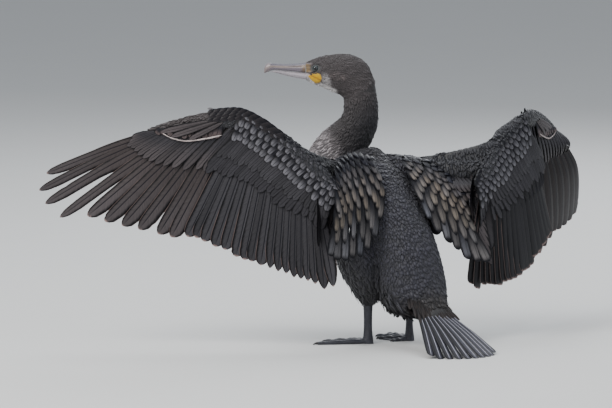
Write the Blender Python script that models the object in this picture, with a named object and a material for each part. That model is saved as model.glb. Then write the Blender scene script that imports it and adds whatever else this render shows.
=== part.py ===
"""A great cormorant drying its wings, life-size and still, seen from behind with its head turned left.

It stands on its two webbed feet and the tips of its tail. Body, wing and leg pieces are lofts of
oval sections, and each feather is a thin closed vane whose root is sunk into the flesh under it.
The finished pieces are in metres. Sizes below are in millimetres, and (u, v) places are in units
of the design sheet, SHEET_SCALE millimetres each. +X is the viewer's right, +Y away from the
viewer and +Z up.
"""

import math
import random

import bmesh
import bpy
from mathutils import Vector

MM = 0.001
GAP = 0.3  # between neighbouring pieces
SEED = 7

# The design sheet looks along +Y, tilted down: (u, v) on it and a depth y give a point.
SHEET_TILT = math.radians(6.0)
SHEET_SCALE = 1.62
SHEET_U0, SHEET_V0 = 385.0, 343.0

# The bird's own directions
HEADING = math.radians(32.0)  # left of +Y
FORWARD = Vector((-math.sin(HEADING), math.cos(HEADING), 0.0))
LEFT = Vector((-math.cos(HEADING), -math.sin(HEADING), 0.0))
RIGHT = -LEFT
BODY_PITCH = math.radians(45.0)
TAILWARD = (-FORWARD * math.cos(BODY_PITCH) - Vector((0, 0, math.sin(BODY_PITCH)))).normalized()
DORSAL = (-FORWARD * math.sin(BODY_PITCH) + Vector((0, 0, math.cos(BODY_PITCH)))).normalized()
TOWARD_VIEWER = Vector((0.0, -1.0, 0.0))
UP = Vector((0.0, 0.0, 1.0))

NECK_BASE = Vector((-36.0, 85.0, 281.0))
TAIL_BASE = NECK_BASE + TAILWARD * 300.0

# Torso: distance from the neck base along the axis, shift to the back, half width, half depth
TORSO_ROWS = (
    (22.0, -4.0, 56.0, 47.0),
    (60.0, -2.0, 63.0, 55.0),
    (110.0, 0.0, 62.0, 60.0),
    (160.0, -5.0, 57.0, 64.0),
    (205.0, -14.0, 56.0, 66.0),
    (245.0, -22.0, 55.0, 58.0),
    (278.0, -15.0, 43.0, 37.0),
    (300.0, -3.0, 31.0, 18.0),
)

# Neck and head on the design sheet: back edge (u, v), front edge (u, v), depth, half width,
# how far the section's own side is turned to the bird's left
NECK_ROWS = (
    (366.5, 160.5, 311.0, 154.5, 110.0, 43.0, 0.35),
    (368.5, 149.0, 312.0, 144.0, 116.0, 40.0, 0.12),
    (374.0, 139.5, 320.5, 133.0, 114.0, 37.0, 0.0),
    (378.3, 127.8, 330.5, 124.5, 107.0, 34.0, 0.0),
    (379.8, 116.0, 338.5, 118.6, 100.0, 31.5, 0.0),
    (379.2, 104.0, 342.6, 112.0, 95.0, 29.5, 0.0),
    (377.2, 91.0, 343.3, 104.5, 91.5, 27.5, 0.0),
)
HEAD_ROWS = (
    (373.4, 75.6, 342.5, 98.8, 90.0, 25.5, 0.0),
    (366.6, 62.4, 340.0, 95.4, 90.0, 24.0, 0.0),
    (355.0, 54.9, 335.5, 92.8, 90.0, 23.0, 0.0),
    (342.4, 52.9, 330.5, 90.5, 90.0, 22.0, 0.0),
    (330.5, 54.0, 324.5, 87.8, 90.0, 20.0, 0.0),
    (320.0, 56.0, 317.5, 85.2, 90.0, 17.0, 0.0),
    (311.0, 59.2, 311.0, 82.3, 90.0, 12.5, 0.0),
    (305.5, 61.6, 306.0, 79.6, 90.0, 9.3, 0.0),
)
# Bill: u, upper edge, lower edge, half width
UPPER_BILL_ROWS = (
    (305.0, 62.3, 71.9, 8.0),
    (296.0, 62.9, 71.0, 6.4),
    (286.0, 63.2, 70.2, 5.4),
    (276.0, 62.9, 69.4, 4.8),
    (270.0, 62.7, 69.0, 4.4),
    (266.6, 63.8, 69.9, 3.6),
    (264.6, 66.4, 71.6, 2.3),
    (263.8, 69.6, 72.6, 1.0),
)
LOWER_BILL_ROWS = (
    (305.5, 72.2, 79.0, 7.6),
    (296.0, 71.3, 77.4, 6.0),
    (286.0, 70.5, 75.2, 4.8),
    (277.0, 69.75, 72.9, 3.8),
    (271.0, 69.4, 71.4, 2.6),
    (268.2, 69.9, 70.8, 1.4),
)
NECK_BEND = 3.5  # stations from the torso to the bend where the neck is parted
HEAD_DEPTH = 90.0
EYE_PLACE = (315.3, 67.7)
EYE_RADIUS = 5.2
EYE_SIDE = 12.2  # from the middle of the head to the eye's centre
LID_RADIUS, LID_THICK, LID_SIDE = 5.7, 1.0, 14.2
MOUTH_LINE = ((307.5, 72.6), (312.0, 73.6), (316.5, 75.2), (320.5, 77.4))
NOSTRIL_LINE = ((302.5, 66.0), (298.0, 66.1), (293.0, 66.2), (288.0, 66.3))

# Feathers: thickness, how far each one's leading side is raised over its neighbour in degrees,
# and outlines as (place along the feather, share of its width)
VANE_THICK = 0.5
SHINGLE = 5.5  # degrees by which each feather's leading side is raised over its neighbour
POINTED = ((0.0, 0.22), (0.3, 0.75), (0.74, 1.0), (0.91, 0.68), (1.0, 0.14))
BLUNT = ((0.0, 0.25), (0.35, 0.88), (0.87, 1.0), (0.96, 0.64), (1.0, 0.2))
ROUND = ((0.0, 0.35), (0.7, 1.0), (0.92, 0.74), (1.0, 0.24))

# Wings. The tables hold the left wing's places on the design sheet, and the right wing is the
# same wing seen in a mirror, with its forearm and hand turned on the wrist.

WRIST_U, WRIST_V = 244.0, 118.0

# Hand: leading edge, trailing edge, half thickness, from the wrist to the tip
HAND_ROWS = (
    (243.0, 109.5, 239.0, 129.0, 8.0),
    (222.0, 110.5, 222.0, 129.5, 7.5),
    (200.0, 113.5, 202.0, 131.0, 6.0),
    (178.0, 119.0, 181.0, 133.0, 4.5),
    (160.0, 124.5, 163.0, 134.0, 3.2),
    (148.0, 128.5, 149.0, 134.5, 2.2),
)
FOREARM_ROWS = (
    (244.5, 109.8, 240.5, 130.0, 8.0),
    (258.6, 116.7, 251.0, 137.0, 9.0),
    (278.0, 131.0, 266.0, 147.0, 9.5),
    (292.0, 141.0, 280.0, 157.0, 10.0),
    (310.5, 153.8, 295.0, 169.0, 10.5),
    (321.7, 164.4, 308.0, 181.0, 11.0),
    (330.0, 173.0, 317.0, 190.0, 11.0),
    (337.0, 183.0, 326.0, 196.0, 8.0),
)
PRIMARY_ROOTS = ((165.0, 131.0), (200.0, 129.0), (231.0, 126.0))
PRIMARY_TIPS = (
    (48.0, 174.0), (41.0, 190.7), (47.0, 204.0), (61.0, 218.0), (88.5, 216.7),
    (106.0, 221.6), (123.0, 226.5), (139.5, 230.0), (159.0, 234.6), (172.0, 237.0),
)
SECONDARY_ROOTS = ((243.0, 127.0), (280.0, 152.0), (315.0, 186.0))
SECONDARY_TIPS = (
    (188.0, 237.0), (196.0, 238.5), (204.0, 242.0), (215.0, 247.0), (225.0, 250.0),
    (236.0, 257.0), (244.5, 260.0), (251.6, 261.5), (260.7, 265.4), (269.8, 269.0),
    (278.0, 271.0), (286.0, 274.0), (293.7, 278.0), (300.7, 279.5), (307.7, 281.0),
    (315.0, 284.0), (324.0, 289.5), (333.0, 287.0),
)
FOLDED_PRIMARY_TIPS = (  # of the right hand, whose feathers hang
    (61.8, 220.0), (77.3, 226.7), (94.6, 231.6), (113.6, 235.1), (131.1, 236.6),
    (148.2, 243.1), (165.2, 251.6), (184.0, 258.0), (206.1, 262.9), (231.5, 266.1),
)
FOLDED_BOW = (22.0, 21.0, 19.0, 16.0, 12.0, 8.0, 3.0, 0.0, 0.0, 0.0)
PRIMARY_COVERT_TIPS = (
    (134.0, 138.0), (130.0, 147.0), (145.0, 157.5), (168.0, 167.0), (194.0, 169.0),
)
FOLDED_COVERT_TIPS = (
    (126.0, 162.0), (140.0, 168.0), (155.0, 173.0), (178.0, 178.0), (212.0, 181.0),
)
SECONDARY_COVERT_TIPS = (
    (206.0, 170.0), (229.0, 177.5), (256.0, 190.0), (285.0, 208.0), (320.0, 230.0),
)
MEDIAN_TIPS = ((236.0, 143.0), (252.0, 152.0), (278.0, 170.0), (300.0, 189.0), (325.0, 209.0))
LESSER_TIPS = ((246.0, 132.0), (262.0, 143.0), (282.0, 158.0), (304.0, 176.0), (329.0, 195.0))
HAND_LESSER_TIPS = ((158.0, 136.0), (178.0, 139.0), (202.0, 141.0), (224.0, 141.0))
ALULA_ROOTS = ((214.0, 122.0), (219.0, 122.0), (224.0, 122.0))
ALULA_TIPS = ((162.0, 134.0), (174.0, 138.0), (188.0, 141.0))

# The cape of scapulars and tertials over the shoulder, from the elbow's end to the back's:
# sheet place and depth of its upper edge, its middle and its lower edge
CAPE = {
    "left": (
        ((342.0, 173.0, -84.0), (344.0, 160.0, -48.0), (353.0, 154.5, -14.0), (367.0, 159.5, 8.0)),
        ((333.0, 220.0, -146.0), (345.0, 209.0, -118.0), (361.0, 205.0, -78.0), (376.0, 192.0, -38.0)),
        ((329.0, 259.0, -158.0), (345.0, 262.0, -148.0), (362.0, 258.0, -122.0), (377.0, 232.0, -80.0)),
    ),
    "right": (
        ((463.0, 186.0, 43.0), (444.0, 172.0, 52.0), (424.0, 160.0, 58.0), (398.0, 157.0, 38.0)),
        ((470.5, 221.0, 12.0), (455.0, 207.0, 8.0), (435.0, 193.0, 6.0), (412.0, 178.0, 4.0)),
        ((489.5, 262.0, -16.0), (468.0, 259.0, -26.0), (445.0, 239.0, -33.0), (426.0, 214.0, -30.0)),
    ),
}
CAPE_CLEAR = 5.0  # from the torso to the cape
CAPE_BASE = (0.62, 6.0, 2.4)  # how far down its base reaches, its thickness above and below
# Count, place of root and tip down the cape, width, height above the cape at root and tip
CAPE_TIERS = (
    (6, 0.48, 1.0, 25.0, 0.6, 1.2), (6, 0.3, 0.76, 24.0, 1.6, 3.8),
    (6, 0.15, 0.53, 22.0, 2.4, 6.0), (6, 0.02, 0.32, 20.0, 3.0, 7.6),
)

# The upper arm ends at the shoulder. The fold of skin before the elbow has its free edge through
# sheet places with a share of the wing's own hollow.
SHOULDERS = {"left": Vector((-66.0, 25.0, 270.0)), "right": Vector((22.0, 82.0, 268.0))}
PATAGIUM_EDGE = ((312.0, 153.0, 0.55), (285.0, 134.0, 0.35), (262.0, 118.0, 0.1))
TERTIALS = 3

# Tail
TAIL_DROP = math.radians(29.0)
TAIL_LINE = (-FORWARD * math.cos(TAIL_DROP) - UP * math.sin(TAIL_DROP)).normalized()
TAIL_FLAT = RIGHT.cross(TAIL_LINE).normalized() * (1.0 if RIGHT.cross(TAIL_LINE).z > 0 else -1.0)
TAIL_FEATHERS = 11
TAIL_SHINGLE = 7.0
TAIL_SPREAD = (-20.0, 9.0)  # degrees, from the bird's left to its right
TAIL_LENGTHS = (122.0, 154.0)  # outermost and middle feather, from the root

# Legs
LEG_PLACES = {"left": Vector((-27.5, -21.0, 0.0)), "right": Vector((40.0, 21.0, 0.0))}
FOOT_TURN = {"left": 80.0, "right": 45.0}  # degrees left of +Y
TARSUS_FOOT = 15.0
TARSUS_TOP = 66.0
TOES = (  # turn outward from the middle toe, length, thickness at the root
    (22.0, 92.0, 6.0), (0.0, 78.0, 6.5), (-25.0, 58.0, 6.0), (-75.0, 36.0, 5.0),
)

COLOURS = {  # linear red, green, blue, roughness
    "torso": (0.020, 0.023, 0.032, 0.6), "neck": (0.050, 0.046, 0.050, 0.75),
    "head": (0.060, 0.052, 0.052, 0.75), "bill": (0.36, 0.36, 0.40, 0.4),
    "eye": (0.03, 0.05, 0.08, 0.1), "tail": (0.060, 0.062, 0.075, 0.6),
    "scapulars": (0.13, 0.115, 0.105, 0.65), "wing": (0.035, 0.031, 0.031, 0.65),
    "thigh": (0.018, 0.019, 0.026, 0.75), "tarsus": (0.022, 0.024, 0.032, 0.5),
    "foot": (0.022, 0.024, 0.032, 0.5),
}


def sheet(u, v, y):
    """The point at (u, v) on the design sheet and at depth y."""
    x = (u - SHEET_U0) * SHEET_SCALE
    height = (SHEET_V0 - v) * SHEET_SCALE
    return Vector((x, y, (height - y * math.sin(SHEET_TILT)) / math.cos(SHEET_TILT)))


def blend(rows, t):
    """Catmull-Rom through rows of equal length, at t from 0 to 1."""
    last = len(rows) - 1
    place = min(max(t, 0.0), 1.0) * last
    i = min(int(place), last - 1)
    f = place - i
    p0, p1 = rows[max(i - 1, 0)], rows[i]
    p2, p3 = rows[i + 1], rows[min(i + 2, last)]
    return [
        0.5 * (2 * b + (c - a) * f + (2 * a - 5 * b + 4 * c - d) * f * f
               + (3 * b - a - 3 * c + d) * f ** 3)
        for a, b, c, d in zip(p0, p1, p2, p3)
    ]


def along(points, t):
    """The point at t of a smooth curve through the given points."""
    return Vector(blend([tuple(p) for p in points], t))


def oval(centre, side, rise, count):
    """A closed ring of points round an oval."""
    turns = (2 * math.pi * k / count for k in range(count))
    return [centre + side * math.cos(a) + rise * math.sin(a) for a in turns]


def new_object(name, bm):
    """An object from a bmesh made in millimetres, its normals outward."""
    bmesh.ops.triangulate(bm, faces=[f for f in bm.faces if len(f.verts) > 4])
    bmesh.ops.recalc_face_normals(bm, faces=bm.faces)
    bmesh.ops.scale(bm, vec=(MM, MM, MM), verts=bm.verts)
    mesh = bpy.data.meshes.new(name)
    bm.to_mesh(mesh)
    bm.free()
    if sum_volume(mesh) < 0:
        mesh.flip_normals()
    obj = bpy.data.objects.new(name, mesh)
    bpy.context.scene.collection.objects.link(obj)
    return obj


def sum_volume(mesh):
    """The signed volume inside a closed mesh."""
    mesh.calc_loop_triangles()
    points = [v.co for v in mesh.vertices]
    return sum(
        points[a].dot(points[b].cross(points[c])) for a, b, c in
        (t.vertices for t in mesh.loop_triangles)
    )


def skin_rings(bm, rings):
    """Closes a row of rings into a tube with flat ends."""
    loops = [[bm.verts.new(p) for p in ring] for ring in rings]
    count = len(loops[0])
    for near, far in zip(loops, loops[1:]):
        for k in range(count):
            n = (k + 1) % count
            bm.faces.new((near[k], near[n], far[n], far[k]))
    bm.faces.new(loops[0][::-1])
    bm.faces.new(loops[-1])


def loft(name, rings):
    """A closed object through a row of rings."""
    bm = bmesh.new()
    skin_rings(bm, rings)
    return new_object(name, bm)


def body_sections():
    """(centre, side, rise) for each station from the tail's root to the bill's root."""
    rows = []
    for s, shift, width, depth in reversed(TORSO_ROWS):
        centre = NECK_BASE + TAILWARD * s + DORSAL * shift
        rows.append((*centre, *(LEFT * width), *(DORSAL * depth)))
    side = (LEFT * 0.8 + TOWARD_VIEWER * 0.2).normalized()
    rows.append((*(NECK_BASE + Vector((-8.0, 8.0, 0.0))), *(side * 50.0), *(DORSAL * 46.0)))
    for back_u, back_v, front_u, front_v, y, width, turned in NECK_ROWS + HEAD_ROWS:
        back, front = sheet(back_u, back_v, y), sheet(front_u, front_v, y)
        side = TOWARD_VIEWER.lerp(LEFT, turned).normalized()
        rows.append((*((back + front) / 2), *(side * width), *((back - front) / 2)))
    return rows


def body_tube(name, rows, first, last, steps, count, trim=(True, True)):
    """The stretch of the body between two stations, each cut end drawn back by half the gap."""
    total = len(rows) - 1
    rings = []
    for k in range(steps + 1):
        t = (first + (last - first) * k / steps) / total
        values = blend(rows, t)
        rings.append([Vector(values[0:3]), Vector(values[3:6]), Vector(values[6:9])])
    for end, inner, cut in ((0, 1, trim[0]), (-1, -2, trim[1])):
        if cut:
            normal = rings[end][1].cross(rings[end][2]).normalized()
            if normal.dot(rings[inner][0] - rings[end][0]) < 0:
                normal = -normal
            rings[end][0] = rings[end][0] + normal * GAP / 2
    return loft(name, [oval(c, s, r, count) for c, s, r in rings])


def boolean(obj, other, operation, solver="EXACT"):
    """Applies one Boolean and removes the other object."""
    modifier = obj.modifiers.new("cut", "BOOLEAN")
    modifier.operation = operation
    modifier.solver = solver
    modifier.object = other
    apply_modifiers(obj)
    bpy.data.objects.remove(other)


def apply_modifiers(obj):
    """Makes the evaluated mesh the object's own."""
    graph = bpy.context.evaluated_depsgraph_get()
    mesh = bpy.data.meshes.new_from_object(obj.evaluated_get(graph))
    obj.modifiers.clear()
    old, obj.data = obj.data, mesh
    bpy.data.meshes.remove(old)


def keep_largest(obj):
    """Leaves only the largest closed surface of the object."""
    bm = bmesh.new()
    bm.from_mesh(obj.data)
    bm.verts.ensure_lookup_table()
    seen, groups = set(), []
    for start in bm.verts:
        if start.index in seen:
            continue
        stack, group = [start], []
        seen.add(start.index)
        while stack:
            vert = stack.pop()
            group.append(vert)
            for edge in vert.link_edges:
                other = edge.other_vert(vert)
                if other.index not in seen:
                    seen.add(other.index)
                    stack.append(other)
        groups.append(group)
    groups.sort(key=len, reverse=True)
    for group in groups[1:]:
        bmesh.ops.delete(bm, geom=group, context="VERTS")
    bm.to_mesh(obj.data)
    bm.free()


def union_all(core, pieces):
    """Joins closed pieces to the core with one union, then removes them."""
    group = bpy.data.collections.new(core.name + "_pieces")
    bpy.context.scene.collection.children.link(group)
    for piece in pieces:
        bpy.context.scene.collection.objects.unlink(piece)
        group.objects.link(piece)
    modifier = core.modifiers.new("join", "BOOLEAN")
    modifier.operation = "UNION"
    modifier.operand_type = "COLLECTION"
    modifier.collection = group
    modifier.solver = "EXACT"
    apply_modifiers(core)
    for piece in pieces:
        bpy.data.objects.remove(piece)
    bpy.data.collections.remove(group)
    keep_largest(core)


def inflated(obj, by):
    """A copy of a smooth closed piece, each point moved outward by a distance in mm."""
    copy = obj.copy()
    copy.data = obj.data.copy()
    bpy.context.scene.collection.objects.link(copy)
    for vert, normal in zip(copy.data.vertices, [v.normal.copy() for v in obj.data.vertices]):
        vert.co += normal * by * MM
    return copy


def vane(name, path, normal, width, shape, thick, tilt=0.0):
    """One feather: a thin closed blade along a path of three points, root first.

    normal points out of its upper face and shape holds (place along it, width share) pairs.
    """
    rings = []
    turn = math.radians(tilt)
    for s, wide in shape:
        centre = along(path, s)
        ahead = (along(path, min(s + 0.05, 1.0)) - along(path, max(s - 0.05, 0.0))).normalized()
        side = ahead.cross(normal).normalized()
        out = side.cross(ahead).normalized()
        side, out = (side * math.cos(turn) + out * math.sin(turn),
                     out * math.cos(turn) - side * math.sin(turn))
        half, lift = side * (width * wide / 2), out * (thick / 2)
        rings.append([centre + half + lift, centre + half - lift,
                      centre - half - lift, centre - half + lift])
    bm = bmesh.new()
    loops = [[bm.verts.new(p) for p in ring] for ring in rings]
    for near, far in zip(loops, loops[1:]):
        for k in range(4):
            n = (k + 1) % 4
            if k == 1:
                bm.faces.new((near[k], near[n], far[k]))
                bm.faces.new((near[n], far[n], far[k]))
            else:
                bm.faces.new((near[k], near[n], far[n]))
                bm.faces.new((near[k], far[n], far[k]))
    bm.faces.new(loops[0][::-1])
    bm.faces.new(loops[-1])
    return new_object(name, bm)


class Wing:
    """Where one wing's own directions and joints lie."""

    def __init__(self, side):
        self.side = side
        left = side == "left"
        self.sign = 1.0 if left else -1.0
        self.wrist = Vector((-228.0, -115.0, 378.6)) if left else Vector((233.0, 142.0, 355.0))
        self.out = {
            "forearm": Vector((-1.0, 0.0, 0.0)) if left else Vector((0.546, 0.838, 0.0)),
            "hand": Vector((-1.0, 0.0, 0.0)) if left else Vector((0.313, 0.950, 0.0)),
        }
        self.roll = {"forearm": 0.0 if left else -5.6, "hand": 0.0 if left else -4.0}
        self.hang = Vector((4.0, -20.0, -105.0)) if left else Vector((-6.0, -12.0, -110.0))
        self.hollow = Vector((0.0, 30.0, 0.0)) if left else Vector((-32.0, 20.0, 18.0))

    def dorsal(self, segment):
        """The direction out of the upper face of a wing segment."""
        out = self.out[segment]
        return Vector((-out.y, out.x, 0.0)) * self.sign

    def point(self, segment, u, v, lift=0.0, droop=0.0):
        """The point of the wing whose place on the left wing's sheet is (u, v)."""
        a, b = (WRIST_U - u) * SHEET_SCALE, (WRIST_V - v) * SHEET_SCALE
        turn = math.radians(self.roll[segment] + droop)
        a, b = a * math.cos(turn) - b * math.sin(turn), a * math.sin(turn) + b * math.cos(turn)
        return self.wrist + self.out[segment] * a + UP * b + self.dorsal(segment) * lift

    def curve(self, segment, places, lift=0.0):
        """A row of sheet places as points of this wing."""
        return [self.point(segment, u, v, lift) for u, v in places]


def torso_radii(s):
    """Shift, half width and half depth of the torso at s from the neck base."""
    rows = TORSO_ROWS
    s = min(max(s, rows[0][0]), rows[-1][0])
    for near, far in zip(rows, rows[1:]):
        if s <= far[0]:
            f = (s - near[0]) / (far[0] - near[0])
            return [near[k] + (far[k] - near[k]) * f for k in (1, 2, 3)]
    return list(rows[-1][1:])


def off_the_body(point, clear):
    """Moves a point out of the torso until it is clear of it."""
    s = (point - NECK_BASE).dot(TAILWARD)
    shift, width, depth = torso_radii(s)
    across = (point - NECK_BASE).dot(LEFT)
    above = (point - NECK_BASE).dot(DORSAL) - shift
    reach = math.hypot(across / (width + clear), above / (depth + clear))
    if reach >= 1.0 or reach < 1e-6:
        return point
    return NECK_BASE + TAILWARD * s + LEFT * (across / reach) + DORSAL * (above / reach + shift)


def cape_point(side, t, r, clear=CAPE_CLEAR):
    """A point of the shoulder cape: t from elbow to back, r from its upper edge to its tips."""
    columns = [along([sheet(*place) for place in row], t) for row in CAPE[side]]
    return off_the_body(along(columns, r), clear)


def cape_normal(side, t, r):
    """The direction out of the cape."""
    across = cape_point(side, t + 0.04, r) - cape_point(side, t - 0.04, r)
    down = cape_point(side, t, min(r + 0.05, 1.0)) - cape_point(side, t, max(r - 0.05, 0.0))
    normal = across.cross(down).normalized()
    return -normal if side == "left" else normal


def slab(name, point, normal, rows, columns, thick):
    """A closed curved slab over a patch given by point(t, r), thick(r) at each place."""
    bm = bmesh.new()
    upper, lower = [], []
    for i in range(rows + 1):
        upper.append([])
        lower.append([])
        for j in range(columns + 1):
            t, r = j / columns, i / rows
            place, lift = point(t, r), normal(t, r) * thick(r) / 2
            upper[-1].append(bm.verts.new(place + lift))
            lower[-1].append(bm.verts.new(place - lift))
    for i in range(rows):
        for j in range(columns):
            bm.faces.new((upper[i][j], upper[i][j + 1], upper[i + 1][j + 1], upper[i + 1][j]))
            bm.faces.new((lower[i][j], lower[i + 1][j], lower[i + 1][j + 1], lower[i][j + 1]))
    for i in range(rows):
        bm.faces.new((upper[i][0], upper[i + 1][0], lower[i + 1][0], lower[i][0]))
        bm.faces.new((upper[i][-1], lower[i][-1], lower[i + 1][-1], upper[i + 1][-1]))
    for j in range(columns):
        bm.faces.new((upper[0][j], lower[0][j], lower[0][j + 1], upper[0][j + 1]))
        bm.faces.new((upper[-1][j], upper[-1][j + 1], lower[-1][j + 1], lower[-1][j]))
    return new_object(name, bm)


def limb(name, wing, segment, rows, steps, count):
    """The flesh of a wing segment, through sections from leading to trailing edge."""
    rings = []
    for k in range(steps + 1):
        lead_u, lead_v, trail_u, trail_v, half = blend(rows, k / steps)
        lead = wing.point(segment, lead_u, lead_v)
        trail = wing.point(segment, trail_u, trail_v)
        rings.append(oval((lead + trail) / 2, wing.dorsal(segment) * half, (lead - trail) / 2, count))
    return loft(name, rings)


def wing_segment(name, wing, segment, rows, tiers):
    """One wing node: its flesh with the rows of feathers that grow from it."""
    core = limb(name, wing, segment, rows, 6, 12)
    pieces = []
    for tier in tiers:
        roots = wing.curve(segment, tier["roots"], tier["lift"][0])
        tips = wing.curve(segment, tier["tips"], tier["lift"][1])
        if wing.side == "right":
            tips = [tip + (wing.dorsal(segment) * 0.8 - UP * 0.8) * tier["belly"]
                    * math.sin(math.pi * k / (len(tips) - 1)) for k, tip in enumerate(tips)]
        for k in range(tier["count"]):
            t = k / (tier["count"] - 1)
            root, tip = along(roots, t), along(tips, t)
            tip = tip + (tip - root).normalized() * random.uniform(-1.0, 1.0)
            bow = blend([(b,) for b in tier["bow"]], t)[0]
            middle = (root + tip) / 2 + wing.dorsal(segment) * bow
            width = tier["width"][0] + (tier["width"][1] - tier["width"][0]) * t
            pieces.append(vane(name + "_vane", (root, middle, tip), wing.dorsal(segment),
                               width * random.uniform(0.95, 1.05), tier["shape"], VANE_THICK,
                               SHINGLE * wing.sign))
    union_all(core, pieces)
    return core


def wing_arm(name, wing, torso, forearm_flesh):
    """The upper arm, the fold of skin before it and the feathers that hang from it."""
    elbow, shoulder, _ = arm_line(wing)
    core = arm_flesh(wing)
    core.name = name
    union_all(core, [patagium(wing, elbow, shoulder), *tertials(wing, elbow, shoulder)])
    boolean(core, inflated(forearm_flesh, GAP), "DIFFERENCE")
    boolean(core, inflated(torso, GAP), "DIFFERENCE")
    keep_largest(core)
    return core


def tertials(wing, elbow, shoulder):
    """The innermost wing feathers, which hang from the upper arm."""
    vanes = []
    dorsal = (shoulder - elbow).cross(UP).normalized() * wing.sign
    for k in range(TERTIALS):
        f = (k + 0.6) / TERTIALS
        root = elbow.lerp(shoulder, 0.28 + 0.5 * f)
        tip = root + (wing.hang * (1.0 - 0.35 * f))
        path = (root, (root + tip) / 2 + dorsal * 2.0, tip)
        vanes.append(vane("tertial", path, dorsal, 24.0, BLUNT, VANE_THICK, SHINGLE * wing.sign))
    return vanes


def cape(name, wing, torso, upper_arm, forearm):
    """The cape of scapulars and tertials over one shoulder."""
    side = wing.side
    deep, upper, lower = CAPE_BASE
    core = slab(name, lambda t, r: cape_point(side, t, r * deep),
                lambda t, r: cape_normal(side, t, r * deep), 4, 6,
                lambda r: upper + (lower - upper) * r)
    union_all(core, cape_vanes(wing))
    for flesh in (upper_arm, forearm, torso):
        boolean(core, inflated(flesh, GAP), "DIFFERENCE")
    keep_largest(core)
    return core


def arm_flesh(wing):
    """The upper arm alone, for what is cut to fit it."""
    elbow, shoulder, half = arm_line(wing)
    flat = (shoulder - elbow).cross(UP).normalized()
    rings = []
    for s, rise, thick in ((0.0, 0.9, 10.0), (0.2, 1.0, 12.0), (0.5, 1.2, 15.0), (0.8, 1.6, 19.0),
                           (1.0, 1.9, 22.0), (1.15, 1.9, 22.0)):
        rings.append(oval(elbow + (shoulder - elbow) * s, flat * thick, UP * half * rise, 12))
    return loft("arm_flesh", rings)


def arm_line(wing):
    """The elbow, the shoulder, and half the wing's depth at the elbow."""
    lead_u, lead_v, trail_u, trail_v, _ = FOREARM_ROWS[-3]
    lead, trail = wing.point("forearm", lead_u, lead_v), wing.point("forearm", trail_u, trail_v)
    return (lead + trail) / 2, SHOULDERS[wing.side], (lead - trail).length / 2


def cape_vanes(wing):
    """The scapulars and tertials in four rows, each lying on the one below."""
    vanes = []
    for count, start, end, width, low, high in CAPE_TIERS:
        for k in range(count):
            t = 0.04 + 0.92 * k / (count - 1)
            reach = end + random.uniform(-0.015, 0.015)
            path = [cape_point(wing.side, t, r) + cape_normal(wing.side, t, r) * lift for r, lift in
                    ((start, low), ((start + reach) / 2, (low + high) / 2 + 0.6), (reach, high))]
            vanes.append(vane("cape_vane", path, cape_normal(wing.side, t, (start + reach) / 2),
                              width * random.uniform(0.94, 1.06), ROUND, VANE_THICK,
                              SHINGLE * wing.sign))
    return vanes


def patagium(wing, elbow, shoulder):
    """The fold of skin spanned from the shoulder to the wrist, before the elbow."""
    edge = [shoulder + UP * 22.0, *(wing.point("forearm", *place[0:2]) + wing.hollow * place[2]
                                    for place in PATAGIUM_EDGE)]

    def place(t, r):
        inner = elbow.lerp(shoulder, max(0.0, 1.0 - 2.0 * t))
        if t > 0.5:
            lead_u, lead_v, trail_u, trail_v, _ = blend(FOREARM_ROWS[::-1], (t - 0.5) * 1.3 + 0.29)
            inner = wing.point("forearm", (lead_u + trail_u) / 2, (lead_v + trail_v) / 2)
        return inner.lerp(along(edge, t), r)

    def out(t, r):
        across = place(t + 0.04, r) - place(t - 0.04, r)
        normal = across.cross(place(t, 1.0) - place(t, 0.0)).normalized()
        return normal if normal.dot(wing.dorsal("forearm")) > 0 else -normal

    return slab("patagium", place, out, 4, 8, lambda r: 9.0 - 4.0 * r)


def tail_vector(turn):
    """The direction of a tail feather turned in the tail's own plane."""
    a = math.radians(turn)
    return TAIL_LINE * math.cos(a) + RIGHT * math.sin(a)


def make_tail():
    """The tail: a flat rump and the long feathers, the middle ones resting on the floor."""
    rows = []
    for s, width, depth in ((GAP, 31.0, 18.0), (10.0, 31.0, 14.5), (22.0, 30.0, 9.5), (34.0, 27.0, 4.5)):
        lean = min(s / 20.0, 1.0)
        rise = DORSAL.lerp(TAIL_FLAT, lean).normalized()
        place = (TAIL_BASE + DORSAL * -3.0 * (1 - lean) + TAILWARD.lerp(TAIL_LINE, lean) * s
                 + LEFT * s * 0.22)
        rows.append(oval(place, LEFT * width, rise * depth, 16))
    core = loft("tail", rows)
    pieces = []
    for k in range(TAIL_FEATHERS):
        f = k / (TAIL_FEATHERS - 1)
        half = 2 * f - 1
        turn = TAIL_SPREAD[0] + (TAIL_SPREAD[1] - TAIL_SPREAD[0]) * f
        length = TAIL_LENGTHS[0] + (TAIL_LENGTHS[1] - TAIL_LENGTHS[0]) * (1 - half * half)
        root = TAIL_BASE + RIGHT * ((f - 0.5) * 50.0 - 8.0) + TAIL_LINE * 14.0
        middle = k == TAIL_FEATHERS // 2
        root = root + TAIL_FLAT * (1.3 if middle else 0.0)
        line = tail_vector(turn)
        path = (root, root + line * length / 2 + TAIL_FLAT * 2.0, root + line * length)
        pieces.append(vane("tail_vane", path, TAIL_FLAT, 15.0, BLUNT, 0.6,
                           0.0 if middle else (TAIL_SHINGLE if half < 0 else -TAIL_SHINGLE)))
    union_all(core, pieces)
    cut_at_floor(core)
    return core


def cut_at_floor(obj):
    """Cuts off what lies below the floor, which leaves small flats to rest on."""
    box = box_below("floor_cut", 700.0, 60.0)
    boolean(obj, box, "DIFFERENCE")
    keep_largest(obj)


def box_below(name, across, deep):
    """A box whose upper face is the floor."""
    bm = bmesh.new()
    bmesh.ops.create_cube(bm, size=1.0)
    for vert in bm.verts:
        vert.co = Vector((vert.co.x * across, vert.co.y * across, (vert.co.z - 0.5) * deep))
    return new_object(name, bm)


def compass(turn):
    """The level direction turned left of +Y."""
    a = math.radians(turn)
    return Vector((-math.sin(a), math.cos(a), 0.0))


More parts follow.
